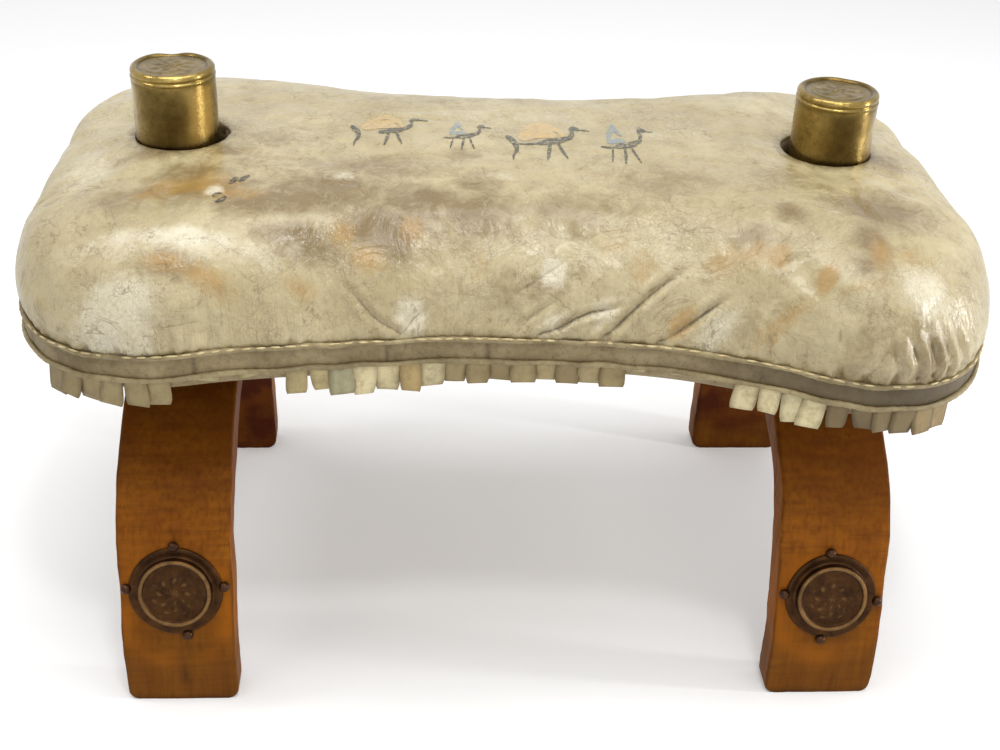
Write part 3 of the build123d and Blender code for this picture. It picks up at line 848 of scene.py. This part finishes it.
def make_top_panel():
    bm = loft(top_rings())
    bmesh.ops.remove_doubles(bm, verts=bm.verts, dist=0.05)
    face_outward(bm, (0, 0, 1))
    piece = to_object(bm, "top_panel_leather", materials["top"])
    rows = np.zeros(len(piece.data.vertices), int)
    piece.data.attributes["row"].data.foreach_get("value", rows)
    sewn = (rows < 3) | (near_holes(places(piece)) < hole_radius + 5)
    swell(piece, sewn, pressure=1.8, excess=0.02, cap=6.0)
    finish_shape(piece, levels=2)
    points, normals = places(piece), directions(piece)
    points, distance, around = gather_seam(points, normals)
    lumps = 1.3 * unevenness(points, 62) + 0.5 * unevenness(points, 21, 5.0)
    points += normals * (lumps * fade(distance, 0, 10))[:, None]
    points, dark = press_folds(points, normals)
    hole = near_holes(points)
    near = np.exp(-(np.maximum(hole - hole_radius, 0) / 22) ** 2)
    points[:, 2] += np.where(points[:, 0] > 0, -0.5, 5.5) * near
    put_back(piece, points)
    paint_attribute(piece, "around", around)
    paint_attribute(piece, "inside", distance / 100)
    for attribute, table in (("stain_and_shade", stains_and_shade), ("scuff", scuffs), ("pale", pale_rubs_and_highlights)):
        paint_attribute(piece, attribute, blots(points, table))
    # The folds' darkening is painted shade with grime; along the seam and round the holes it is grime
    seam_dirt = 0.8 * np.exp(-distance / 3.5)
    hole_dirt = 0.85 * np.exp(-np.maximum(hole - hole_radius, 0) / 9)
    paint_attribute(piece, "dirt_and_shade", np.maximum(np.maximum(dark, seam_dirt), hole_dirt))
    cut_holes(piece)
    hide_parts("top_panel", "stuffing")
    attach(piece, "cushion")
    return piece


def seam_line(count, height, out=0.0):
    """A settled line round the cushion at a height, standing out from the outline."""
    whole, outward, _ = outline(count)
    reach = outward * np.reshape(out, (-1, 1))
    return settle(np.column_stack([whole + reach, np.full(count, height)]))


band_columns = 1300
band_rows = 8
# Where the band's lengths of leather are sewn end to end, as shares of the way round
band_joins = (0.07, 0.135, 0.2, 0.235, 0.33, 0.41, 0.5, 0.58, 0.66, 0.74, 0.83, 0.92)


def make_side_band():
    around = np.arange(band_columns) / band_columns
    joint = np.zeros(band_columns)
    for share in band_joins:
        joint = np.maximum(joint, np.exp(-((around - share) * band_columns / 1.1) ** 2))
    rings = []
    for k in range(band_rows + 1):
        share = k / band_rows
        out = 1.0 * math.sin(math.pi * share) - 0.8 * joint * math.sin(math.pi * share)
        ripple = 0.7 * np.sin(around * 190 + 3 * np.sin(around * 31)) * math.sin(math.pi * share)
        height = lower_seam + share * (upper_seam - lower_seam)
        rings.append(seam_line(band_columns, height, out + 0.5 * ripple))
    piece = to_object(loft(rings), "side_band_leather", materials["band"])
    points = places(piece)
    points += directions(piece) * 0.5 * unevenness(points, 14)[:, None]
    put_back(piece, points)
    columns = np.zeros(len(points), int)
    piece.data.attributes["column"].data.foreach_get("value", columns)
    handled = (0.1 + 0.7 * fade(points[:, 0], 60, 240)) * fade(points[:, 1], 0, -120)
    handled += 0.12 * unevenness(points, 40)
    paint_attribute(piece, "dirt_and_shade", np.clip(np.maximum(0.55 * joint[columns], handled), 0, 1))
    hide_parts("side_band")
    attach(piece, "cushion")


def make_welt(name, node, height, out):
    """A rolled welt: a thin leather tube sewn along a seam, pinched where the stitches pull."""
    count = 1300
    around = np.arange(count) / count * 2 * math.pi
    line = seam_line(count, height, out)
    _, outward, _ = outline(count)
    pinch = 1 - 0.13 * np.exp(-((np.mod(np.arange(count), 5) - 2.0) / 0.8) ** 2)
    thick = piping_radius * pinch * (1 + 0.16 * np.sin(around * 23 + np.sin(around * 7)))
    drift = 0.5 * np.sin(around * 37 + 2 * np.sin(around * 11))
    rings = []
    for k in range(10):
        angle = 2 * math.pi * k / 10
        ring = line.copy()
        ring[:, :2] += outward * (thick * math.cos(angle))[:, None]
        ring[:, 2] += thick * math.sin(angle) + drift
        rings.append(ring)
    bm = loft(rings, closed=True)
    bmesh.ops.recalc_face_normals(bm, faces=bm.faces)
    piece = to_object(bm, name, materials["welt"])
    paint_attribute(piece, "dirt_and_shade", 0.25 + 0.25 * unevenness(places(piece), 30))
    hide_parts(node)
    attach(piece, "cushion")


def make_stitches(name, height, out, pitch, chance):
    """Running stitches of waxed thread that lie along a seam; some are lost."""
    line = seam_line(seam_points, height, out)
    along = lengths(line)
    draw = random.Random(11)
    bm = bmesh.new()
    for start in np.arange(pitch / 2, along[-1] - pitch, pitch):
        if draw.random() > chance:
            continue
        place = place_along(line, along, start)
        ahead = place_along(line, along, start + 1)
        length = pitch * draw.uniform(0.62, 0.92)
        turn = (ahead - place).to_track_quat("X", "Z").to_matrix().to_4x4()
        lean = Matrix.Rotation(draw.uniform(-0.12, 0.12), 4, "Z")
        size = Matrix.Diagonal((length / 2, 0.62, 0.7, 1))
        bmesh.ops.create_uvsphere(bm, u_segments=6, v_segments=6, radius=1.0,
                                  matrix=Matrix.Translation(place) @ turn @ lean @ size @ Matrix.Rotation(
                                      math.pi / 2, 4, "Y"))
    piece = to_object(bm, name, materials["thread"])
    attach(piece, "cushion")


def make_bottom_panel():
    count = 212
    whole, _, middle = outline(count)
    inward, _ = way_in(whole, middle)
    depth = lower_seam - underside - 0.5
    rings = []
    for inset, drop in smooth_line([(0.5, 0), (6, 0.3 * depth), (22, 0.62 * depth), (46, 0.88 * depth),
                                    (underside_inset, depth)], 14):
        rings.append(np.column_stack([whole + inward * inset, np.full(count, lower_seam - drop)]))
    edge = rings[-1][:, :2]
    for k in range(1, 7):
        rings.append(np.column_stack([edge + (middle - edge) * k / 6, np.full(count, lower_seam - depth)]))
    eased = [settle(ring) for ring in rings[:12]]
    eased += [ring - (9 * fade(ring[:, 0], 130, 310))[:, None] * [1, 0, 0] for ring in rings[12:]]
    bm = loft(eased)
    bmesh.ops.remove_doubles(bm, verts=bm.verts, dist=0.05)
    for side in (-1, 1):
        centre = Vector((side * hole_x, 0))
        inside = [v for v in bm.verts if (v.co.xy - centre).length < hole_radius]
        bmesh.ops.delete(bm, geom=inside, context="VERTS")
    face_outward(bm, (0, 0, -1))
    piece = to_object(bm, "bottom_panel_leather", materials["band"])
    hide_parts("bottom_panel")
    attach(piece, "cushion")


def make_sleeves(top):
    """Leather tubes from the turned edge of each hole down to the underside."""
    tree = BVHTree.FromObject(top, bpy.context.evaluated_depsgraph_get())
    count = 64
    for name, side in (("left_post_sleeve", -1), ("right_post_sleeve", 1)):
        angles = np.arange(count) / count * 2 * math.pi
        around = np.column_stack([np.cos(angles), np.sin(angles)])
        rim = []
        for way in around:
            x, y = way * (hole_radius + 0.6)
            spot = Vector((side * hole_x + x, y, crown_top + ray_rise))
            hit = tree.ray_cast(spot * MM, Vector((0, 0, -1)))[0]
            rim.append(hit.z / MM if hit else crown_top)
        rim = np.array(rim) - 2.6
        rings = []
        bottom = underside + 1.0
        for share in np.linspace(0, 1, 14):
            middle = side * (hole_x + hole_shift * share)
            radius = hole_radius - 1.0 + 0.5 * np.sin(angles * 3 + 9 * share)
            rings.append(np.column_stack([middle + around[:, 0] * radius, around[:, 1] * radius,
                                          rim + (bottom - rim) * share]))
        bm = loft(rings)
        bmesh.ops.recalc_face_normals(bm, faces=bm.faces)
        bmesh.ops.solidify(bm, geom=bm.faces, thickness=-0.8)
        piece = to_object(bm, name + "_leather", materials["band"])
        paint_attribute(piece, "dirt_and_shade", np.full(len(piece.data.vertices), 0.6))
        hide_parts(name)
        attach(piece, "cushion")


# Fringe
strip_width = 15.6
strip_pitch = 14.2
strip_length = 20.0
strip_thickness = 1.2
# Stretches of the front that have lost their strips, and how far the front and rear rows reach
front_gaps = ((-215, -150), (62, 143))
row_end = 274.0
# The shades of the front strips: from where to where, the shade and how far it strays
strip_shades = ((-300, -215, 0.08, 0.25), (-150, -118, 0.3, 0.2), (-118, -96, 0.55, 0.1),
                (-96, -78, 0.75, 0.05), (-78, -64, 0.98, 0.02), (-64, -42, 0.75, 0.06),
                (-42, 62, 0.0, 0.25), (143, 190, 0.7, 0.12), (190, 244, 0.0, 0.2), (244, 300, 0.96, 0.04))


def make_fringe():
    """Cut strips that hang from the lower seam, each askew in its own way; some are torn to stubs."""
    line = seam_line(seam_points, lower_seam - 0.6, -1.6)
    along = lengths(line)
    draw = random.Random(5)
    rows = {name: [] for name in ("front_fringe", "rear_fringe", "left_fringe", "right_fringe")}
    strip_count = int(along[-1] / strip_pitch)
    for index in range(strip_count):
        start = (index + 0.5) * along[-1] / strip_count
        place = place_along(line, along, start)
        ahead = place_along(line, along, min(start + 1, along[-1]))
        character = [draw.random() for _ in range(10)]
        if abs(place.x) > row_end:
            row = "right_fringe" if place.x > 0 else "left_fringe"
        else:
            row = "rear_fringe" if place.y > 0 else "front_fringe"
        lost = row == "front_fringe" and any(a < place.x < b for a, b in front_gaps)
        lost = lost or (place.y < -50 and not -290 < place.x < 276)
        rows[row].append((place, ahead - place, character, lost))
    for row, strips in rows.items():
        bm = bmesh.new()
        tint = bm.verts.layers.float.new("tint")
        dirt_and_shade = bm.verts.layers.float.new("dirt_and_shade")
        for place, way, character, lost in strips:
            longer, wider, curled, swung, cupped, flared, slanted, twisted, tone, soiled = character
            for start, end, shade, spread in strip_shades:
                if row == "front_fringe" and start < place.x < end:
                    tone = shade + spread * tone
            made = bmesh.ops.create_grid(bm, x_segments=4, y_segments=7, size=0.5)["verts"]
            length = (2.2 + 4.5 * longer * longer) if lost else strip_length * (0.9 + 0.2 * longer)
            width = strip_width * (0.88 + 0.22 * wider)
            if row == "front_fringe" and -42 < place.x < 62 and not lost:
                length, width = 0.78 * length, 1.02 * strip_width
                swung = 0.5 + 0.3 * (swung - 0.5)
            corner_dirt = 0.55 * fade(place.y, 0, -120) if place.x > 190 else 0.1 * (place.x < -215)
            curl = (curled - 0.42) * 0.8
            swing = (swung - 0.5) * (0.34 if swung < 0.88 else 0.7)
            cup = (cupped - 0.5) * 3.0
            for vert in made:
                u, v = vert.co.x, 0.5 - vert.co.y
                bend = curl * v
                side = u * width * (1 - 0.06 * (1 - v) - 0.16 * v ** 8 + (flared - 0.5) * 0.3 * v)
                side += swing * v * length
                down = -v * length * (1 - 0.1 * abs(curl) * v)
                down -= (slanted - 0.5) * (5.0 if lost else 3.0) * u * v
                out = length * v * bend * 0.5 + cup * (0.25 - u * u) * v + (twisted - 0.5) * 3.4 * u
                vert.co = (side, -out, down)
                vert[tint] = tone
                # Painted shade darkens each strip at its top, under the seam, and along its sides; soiling
                # darkens it towards the tip
                shade_and_soiling = 1.6 * max(0, 0.25 - v) + 0.4 * soiled * v + 2.45 * max(0, abs(u) - 0.38)
                vert[dirt_and_shade] = shade_and_soiling + corner_dirt
            turn = Matrix.Rotation(math.atan2(way.y, way.x), 4, "Z")
            bmesh.ops.transform(bm, matrix=Matrix.Translation(place) @ turn, verts=made)
        bmesh.ops.recalc_face_normals(bm, faces=bm.faces)
        bmesh.ops.solidify(bm, geom=bm.faces, thickness=strip_thickness)
        piece = to_object(bm, row + "_strips", materials["strip"])
        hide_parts(row)
        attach(piece, "cushion")


# Legs

foot_rounding = 6.5
# A leg's edges wander up to this height, and over the next stretch they go back to true for the joint
crown_start = 165.0
crown_fade = 25.0
crease_angle = math.radians(38)
# The middle of a medallion above the floor, and the ring of painted orange highlight and rubbed varnish round
# it
medallion_height = 72.0
medallion_reach = 36.0


def make_legs():
    """The bent legs as rasp and use left them: their edges wander a little and their feet are rounded."""
    for number, name in enumerate(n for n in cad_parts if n.endswith("_leg")):
        bm = bmesh.new()
        bm.from_mesh(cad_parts[name].data)
        bmesh.ops.remove_doubles(bm, verts=bm.verts, dist=0.00002)
        bmesh.ops.scale(bm, vec=(1 / MM, 1 / MM, 1 / MM), verts=bm.verts)
        middle = (low(name, 0) + high(name, 0)) / 2
        half = (high(name, 0) - low(name, 0)) / 2
        levels = [0.8, 1.8, 3.2, 5.2, 7.6] + list(np.arange(12, 186, 5.5))
        cuts = [((0, 0, z), (0, 0, 1)) for z in levels]
        cuts += [((middle + x, 0, 0), (1, 0, 0)) for x in np.linspace(-half + 5, half - 5, 12)]
        for place, way in cuts:
            bmesh.ops.bisect_plane(bm, geom=[*bm.verts, *bm.edges, *bm.faces], dist=0.0005,
                                   plane_co=place, plane_no=way)
        for vert in bm.verts:
            x, y, z = vert.co
            share = (x - middle) / half
            free = 1 - min(1, max(0, (z - crown_start) / crown_fade))
            wander = noise.noise(Vector((7 * number + 3 * round(share), 0, z / 34)))
            wander += 0.4 * noise.noise(Vector((7 * number + 3 * round(share), 5, z / 11)))
            drop = max(0, foot_rounding - z)
            corner = foot_rounding - math.sqrt(max(0, foot_rounding ** 2 - drop ** 2))
            vert.co.x += free * (1.1 * wander * abs(share) ** 2 - corner * share * abs(share) ** 3)
            vert.co.y += free * 0.35 * noise.noise(Vector((x / 30, z / 22, number)))
            if z < 3:
                vert.co.z += (1 - z / 3) * 0.7 * abs(noise.noise(Vector((x / 9, y / 9, number))))
        piece = to_object(bm, name + "_wood", materials["wood"])
        piece.data.set_sharp_from_angle(angle=crease_angle)
        points = places(piece)
        edge = np.abs(points[:, 0] - middle) / half
        outward = directions(piece)[:, 1] * (-1 if "front" in name else 1)
        # Painted shade on the inner faces, where the wood is also unpolished
        paint_attribute(piece, "inner", fade(-outward, 0.15, 0.5))
        edge_line = np.exp(-(half * (1 - edge) / 1.6) ** 2) * fade(np.abs(outward), 0.3, 0.6)
        foot = np.exp(-(points[:, 2] / 3.0) ** 2)
        streak = np.exp(-((points[:, 0] - middle - 2) / 4) ** 2) * fade(points[:, 2], 48, 40)
        streak *= fade(points[:, 2], 4, 30) * (name == "left_front_leg")
        paint_attribute(piece, "dirt_and_shade", np.maximum(np.maximum(0.8 * edge_line, 0.8 * foot), 1.5 * streak))
        # A painted orange highlight and rubbed varnish in a ring round each medallion
        ring = np.hypot(points[:, 0] - middle, points[:, 2] - medallion_height)
        ring = np.abs(ring - medallion_reach)
        paint_attribute(piece, "varnish_and_sheen", np.exp(-(ring / 9) ** 2))
        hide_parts(name)
        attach(piece, "frame")


# Brass caps

def bow(centre_r, centre_z, radius, start, end, count):
    """Points (radius, height) on an arc of a turned profile; angles in degrees."""
    return [(centre_r + radius * math.cos(math.radians(a)), centre_z + radius * math.sin(math.radians(a)))
            for a in np.linspace(start, end, count)]


def turned(profile, columns, middle, shape):
    """The skin of a turned form about an upright axis, from its lowest to its innermost point."""
    angles = np.arange(columns) / columns * 2 * math.pi
    rings = []
    for radius, height in profile:
        r, z = shape(np.full(columns, float(radius)), np.full(columns, float(height)), angles)
        rings.append(np.column_stack([middle[0] + r * np.cos(angles), middle[1] + r * np.sin(angles),
                                      middle[2] + z]))
    bm = loft(rings)
    inner = [e for e in bm.edges if e.is_boundary
             and all(math.hypot(v.co.x - middle[0], v.co.y - middle[1]) < 3 for v in e.verts)]
    bmesh.ops.edgeloop_fill(bm, edges=inner)
    face_outward(bm, (0, 0, 1))
    return bm


def make_caps():
    """A spun shell with a rim bead, a shoulder bead, and a sunk top with a worn rosette."""
    for name, dent_angle, dent, ring_rise, petals, dark_reflection_turn in (
        ("left_post_cap", math.radians(98), 1.4, 0.15, 9, (100, 36)),
        ("right_post_cap", math.radians(60), 0.4, 0.6, 7, (88, 28)),
    ):
        radius, top = (high(name, 0) - low(name, 0)) / 2, high(name, 2)
        middle = ((low(name, 0) + high(name, 0)) / 2, 0, top)
        skirt = top - low(name, 2)
        profile = [(radius - 1.2, -skirt + 0.3), (radius - 0.9, -skirt), (radius - 0.3, -skirt),
                   (radius - 0.05, -skirt + 0.4)]
        profile += [(radius - 0.25, z) for z in np.linspace(-skirt + 4, -8.3, 22)]
        profile += bow(radius - 1.1, -6.4, 1.15, -55, 62, 8)
        profile += [(radius - 0.95, -4.8)]
        profile += bow(radius - 3.1, -2.95, 2.85, -24, 100, 14)
        profile += [(radius - 4.5, -0.4), (radius - 5.2, -0.95), (radius - 5.6, -1.45)]
        profile += [(r, -1.55) for r in np.linspace(radius - 6.0, 0.6, 26)]

        def shape(r, z, angles):
            pull = dent * np.exp(-((np.mod(angles - dent_angle + math.pi, 2 * math.pi) - math.pi) / 0.3) ** 2)
            at_top = np.clip((z + 14) / 12, 0, 1) * fade(r, 18, 26)
            z = z - pull * at_top
            r = r - pull * at_top + 0.12 * np.sin(3 * angles + 1) * fade(r, 20, 27)
            flower = np.clip(np.cos(petals * angles) * 0.5 + 0.62 - np.abs(r - 9) / 9, 0, 1)
            z = z + 0.4 * flower * (r < 16.5) + 0.25 * np.exp(-(r / 3.2) ** 2)
            z = z + ring_rise * np.exp(-((r - 17.5) / 0.9) ** 2)
            return r, z + 0.12 * np.sin(5 * angles + r * 0.8) * (r < 20)

        bm = turned(profile, 120, middle, shape)
        piece = to_object(bm, name + "_brass", materials["brass"])
        points = places(piece)
        far = np.hypot(points[:, 0] - middle[0], points[:, 1])
        depth = top - points[:, 2]
        groove = 0.5 * np.exp(-((depth - 4.6) / 0.5) ** 2) + 0.5 * np.exp(-((depth - 8.1) / 0.6) ** 2)
        field = 0.3 + 0.45 * np.exp(-((far - radius + 5.6) / 0.8) ** 2)
        dirt_and_shade = np.where(far > radius - 3, groove, field * (depth < 3))
        # Darker towards the bottom, where the cap goes into the leather
        dirt_and_shade = np.maximum(dirt_and_shade, 0.55 * fade(depth, 46, 56))
        # A painted dark reflection down the front, and a painted highlight to its right
        turn = np.degrees(np.arctan2(points[:, 1], points[:, 0] - middle[0])) + 2.5 * unevenness(points, 12)
        patina = np.exp(-((turn + dark_reflection_turn[0]) / dark_reflection_turn[1]) ** 4) * fade(depth, 5, 12)
        dirt_and_shade = np.maximum(dirt_and_shade, 0.7 * patina)
        paint_attribute(piece, "dirt_and_shade", dirt_and_shade)
        painted_highlight = np.exp(-((turn + 42) / 20) ** 4) * fade(depth, 7, 13) * (1 - fade(depth, 40, 54))
        # Painted highlight, on the left cap only
        paint_attribute(piece, "worn", 0.75 * painted_highlight * (name == "left_post_cap"))
        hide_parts(name)
        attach(piece, "frame")


# Medallions

medallion_petals = 8


def make_medallions():
    """Cast plates: a dished flange, a raised disc with a rounded rim, and a worn rosette in its field."""
    tilt = math.radians(seat_tilt)
    for side in ("left", "right"):
        for front, facing in (("front", -1), ("rear", 1)):
            name = f"{side}_{front}_medallion"
            normal = Vector((0, facing * math.cos(tilt), math.sin(tilt)))
            verts = [v.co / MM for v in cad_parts[name].data.vertices]
            lowest = min(v.dot(normal) for v in verts)
            back = [v for v in verts if v.dot(normal) < lowest + 0.05]
            origin = Vector([(min(v[k] for v in back) + max(v[k] for v in back)) / 2 for k in range(3)])
            across = Vector((-facing, 0, 0))
            upward = normal.cross(across)
            profile = [(31.5, 0.0), (31.6, 0.5), (31.4, 1.2), (30.9, 1.75), (30.0, 1.95), (28.6, 1.6),
                       (27.0, 1.2), (25.6, 1.15), (24.9, 1.5), (24.55, 2.4), (24.5, 4.6)]
            profile += bow(22.9, 4.9, 1.7, 0, 165, 9)
            profile += [(20.9, 4.75), (20.3, 4.55)]
            profile += [(r, 4.5) for r in np.linspace(19.4, 0.6, 26)]

            def shape(r, z, angles):
                petal = np.clip(0.5 + 0.62 * np.cos(medallion_petals * angles) - np.abs(r - 9.5) / 8.5, 0, 1)
                outer = 0.4 + 0.5 * np.cos(medallion_petals * angles + math.pi) - np.abs(r - 15.2) / 4.5
                outer = np.clip(outer, 0, 1)
                z = z + (0.42 * petal + 0.4 * outer) * (r < 19) + 0.4 * np.exp(-(r / 3.0) ** 4)
                edge = 0.18 * np.sin(4 * angles + 1.3) * (r > 29)
                return r + edge, z + 0.12 * np.sin(7 * angles + r) * (r < 20)

            bm = turned(profile, 112, (0, 0, 0), shape)
            heights = np.array([v.co.z for v in bm.verts])
            radii = np.array([v.co.xy.length for v in bm.verts])
            stand = Matrix((across, upward, normal)).transposed().to_4x4()
            bmesh.ops.transform(bm, matrix=Matrix.Translation(origin) @ stand, verts=bm.verts)
            piece = to_object(bm, name + "_bronze", materials["bronze"])
            rub = 0.85 * fade(heights, 5.7, 6.6) + 0.5 * fade(heights, 4.75, 5.1) * (radii < 19)
            paint_attribute(piece, "rubbed", rub)
            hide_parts(name)
            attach(piece, "frame")


# Painted caravan: a few brush strokes for each camel, as places on the top seen from above

def make_strokes(top):
    tree = BVHTree.FromObject(top, bpy.context.evaluated_depsgraph_get())
    # One camel in its own units, as strokes: a line of places and a half width each
    camel = (
        (((-34, 21), (-30, 18), (-26, 13), (-26, 6)), 2.6), (((-26, 9), (-29, 4), (-30, 0)), 1.1),
        (((-24, 14), (-12, 13.5), (-2, 14.5)), 0.9), (((-6, 14), (4, 15.5), (15, 17), (24, 20)), 2.6),
        (((21, 18), (26, 22), (28, 28)), 2.0), (((25, 28), (30, 30.5), (35, 28.5)), 2.3),
        (((34, 29), (39, 28.5), (44, 28)), 0.7), (((5, 16), (3, 8), (0, 0)), 1.7),
        (((11, 16), (14, 9), (18, 1)), 1.4), (((-10, 13), (-13, 6), (-15, 1)), 1.2),
    )
    loads = {
        "ochre": ((((-22, 18), (-13, 29), (2, 33), (14, 27), (19, 19)), 3.4),
                  (((-20, 18), (-6, 23), (12, 21)), 4.0), (((-14, 26), (0, 28), (10, 25)), 4.0)),
        "blue": ((((-14, 19), (-9, 27), (-2, 31), (4, 24)), 2.8), (((-15, 18), (-2, 20), (8, 19)), 2.4),
                 (((-6, 30), (-3, 35), (1, 30)), 2.2)),
    }
    # Each camel: where its feet are, its scale along and across, its load, and the strokes that are left
    row = ((-85, -18, 0.68, 1.6, "ochre", (0, 1, 3, 4, 5, 6, 7, 8)),
           (-33, -24, 0.5, 1.4, "blue", range(2, 10)), (24, -40, 0.76, 1.93, "ochre", range(9)),
           (76, -44, 0.58, 2.0, "blue", range(2, 10)), (0, 0, 1, 1, None, range(10, 14)))
    # What is left of one more, at the left
    camel += ((((-181, -80), (-179, -76), (-177, -71)), 1.9), (((-175, -77), (-173, -73), (-170, -68)), 2.0),
              (((-187, -104), (-184, -101), (-182, -97)), 1.7),
              (((-190, -98), (-188, -94), (-184, -93)), 1.2))
    for name, key in (("caravan_dark_paint", None), ("caravan_ochre_paint", "ochre"),
                      ("caravan_blue_paint", "blue")):
        bm = bmesh.new()
        draw = random.Random(3)
        for x, y, wide, tall, load, kept in row:
            if key is None:
                lines = [camel[k] for k in kept]
            elif load == key:
                lines = loads[key]
            else:
                continue
            for line, width in lines:
                spots = smooth_line([np.array(p, float) for p in line], 14)
                spots += np.array([[draw.uniform(-0.3, 0.3), draw.uniform(-0.3, 0.3)] for _ in spots])
                way = np.gradient(spots, axis=0)
                side = np.column_stack([-way[:, 1], way[:, 0]]) / np.linalg.norm(way, axis=1)[:, None]
                swelling = np.sin(np.linspace(0.35, math.pi - 0.2, 14)) ** 0.6
                strip = [(spots + side * (offset * width * swelling)[:, None]) * [wide, tall] + [x, y]
                         for offset in (-1, 0, 1)]
                grid = bmesh.ops.create_grid(bm, x_segments=13, y_segments=2, size=0.5)["verts"]
                for vert in grid:
                    k, j = round((vert.co.x + 0.5) * 13), round((vert.co.y + 0.5) * 2)
                    spot = Vector((*strip[j][k], crown_top + ray_rise))
                    hit, normal, _, _ = tree.ray_cast(spot * MM, Vector((0, 0, -1)))
                    vert.co = (hit + normal * (0.2 if key else 0.3) * MM) / MM
        face_outward(bm, (0, 0, 1))
        piece = to_object(bm, name, materials[name])
        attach(piece, "cushion")
        points = places(piece)
        for attribute, table in (("stain_and_shade", stains_and_shade), ("scuff", scuffs), ("pale", pale_rubs_and_highlights), ("dirt_and_shade", ())):
            paint_attribute(piece, attribute, blots(points, table))


# Floor and light

floor_radius = 4000
floor_glow = 0.175
soft_world = 0.5


def plainly_seen(tree):
    """1 where the background is seen by the camera, in a reflection or through something, else 0."""
    path = add_node(tree, "LightPath").outputs
    seen = add_node(tree, "Math", {0: path["Is Camera Ray"], 1: path["Is Glossy Ray"]}, operation="MAXIMUM")
    return add_node(tree, "Math", {0: seen, 1: path["Is Transmission Ray"]}, operation="MAXIMUM")


def make_floor():
    bm = bmesh.new()
    bmesh.ops.create_circle(bm, cap_ends=True, segments=96, radius=floor_radius)
    piece = to_object(bm, "floor", None)
    material = bpy.data.materials.new("pale_studio_floor")
    material.use_nodes = True
    tree = material.node_tree
    tree.nodes.remove(tree.nodes["Principled BSDF"])
    matt = add_node(tree, "BsdfDiffuse", {"Color": colour("#F3F3F3")})
    strength = add_node(tree, "Math", {0: plainly_seen(tree), 1: floor_glow}, operation="MULTIPLY")
    glow = add_node(tree, "Emission", {"Color": colour("#FFFFFF"), "Strength": strength})
    both = add_node(tree, "AddShader", {0: matt, 1: glow})
    tree.links.new(both.outputs[0], tree.nodes["Material Output"].inputs["Surface"])
    piece.data.materials.append(material)


def make_lamp(name, place, target, size, power):
    data = bpy.data.lights.new(name, "AREA")
    data.shape = "RECTANGLE"
    data.size, data.size_y = size
    data.energy = power
    made = bpy.data.objects.new(name, data)
    bpy.context.scene.collection.objects.link(made)
    made.location = place
    made.rotation_mode = "QUATERNION"
    made.rotation_quaternion = (Vector(target) - Vector(place)).to_track_quat("-Z", "Y")


def make_world():
    world = bpy.data.worlds.new("studio")
    bpy.context.scene.world = world
    world.use_nodes = True
    tree = world.node_tree
    soft = tree.nodes["Background"]
    soft.inputs["Color"].default_value = colour("#FFFFFF")
    soft.inputs["Strength"].default_value = soft_world
    white = add_node(tree, "Background", {"Color": colour("#FFFFFF"), "Strength": 1.0})
    mix = add_node(tree, "MixShader", {0: plainly_seen(tree), 1: soft, 2: white})
    tree.links.new(mix.outputs[0], tree.nodes["World Output"].inputs["Surface"])


materials = {
    "top": painted_leather("painted_cowhide"),
    "band": raw_leather("faded_cowhide", "#A3926C", "#756440", "#574626"),
    "welt": raw_leather("rolled_cowhide", "#B7A77C", "#8C7B54", "#6A5A38", size=12),
    "thread": raw_leather("waxed_linen_thread", "#DCCB9E", "#BFA876", "#94794A", size=6),
    "strip": strip_leather("cut_hide_strips"),
    "wood": oiled_hardwood("stained_bent_hardwood", "#96590E", "#80460A", "#482304"),
    "inner": oiled_hardwood("planed_pine", "#B98E56", "#96683A", "#6B4524", shade_top=False),
    "brass": aged_brass("tarnished_sheet_brass"),
    "bronze": patinated_bronze("patinated_cast_bronze", "#4A2E12", "#2A1605", 0.44),
    "nail": patinated_bronze("blackened_iron_nails", "#50341F", "#28170F", 0.4),
    "screw": patinated_bronze("dull_steel_screws", "#8E8C86", "#5C5A55", 0.4),
    "wadding": cotton_wadding("cotton_wadding"),
    "caravan_dark_paint": painted_leather("dark_pigment_on_cowhide", "#24271D", 0.42),
    "caravan_ochre_paint": painted_leather("ochre_pigment_on_cowhide", "#C9A76C", 0.475),
    "caravan_blue_paint": painted_leather("blue_pigment_on_cowhide", "#768890", 0.44),
}

node_finishes = {"leg": "wood", "post": "wood", "wedge": "inner", "dowels": "inner", "rail": "inner",
                 "screws": "screw", "nails": "nail", "medallion": "bronze", "cap": "brass",
                 "stuffing": "wadding"}
for name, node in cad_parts.items():
    found = [finish for word, finish in node_finishes.items() if name.endswith(word)]
    finish = found[-1] if found else "band"
    node.data.materials.clear()
    node.data.materials.append(materials[finish])

top_panel = make_top_panel()
make_side_band()
make_welt("upper_welt", "upper_piping", upper_seam, 1.2)
make_welt("lower_welt", "lower_piping", lower_seam, 1.4)
make_stitches("upper_stitching", upper_seam + 1.3, 2.4, 9.0, 0.86)
make_bottom_panel()
make_sleeves(top_panel)
make_fringe()
make_legs()
make_caps()
make_medallions()
make_strokes(top_panel)
make_floor()
make_world()
make_lamp("overhead_softbox", (0.0, -0.05, 2.2), (0, 0, 0.2), (1.6, 1.2), 21.5)
make_lamp("front_softbox", (0.15, -0.95, 2.2), (0, -0.1, 0.3), (0.25, 0.25), 8)
make_lamp("fill_softbox", (0.3, -2.3, 1.4), (0, 0, 0.2), (1.6, 1.0), 7)
make_lamp("left_softbox", (-1.5, 0.0, 2.1), (0, 0, 0.3), (0.35, 0.5), 9)
make_lamp("right_softbox", (1.9, 0.1, 1.5), (0, 0, 0.3), (0.4, 0.6), 3.5)
make_lamp("right_strip_light", (1.9, -0.37, 0.42), (0, 0, 0.36), (0.1, 0.7), 15)
bpy.context.scene.view_settings.view_transform = "Standard"
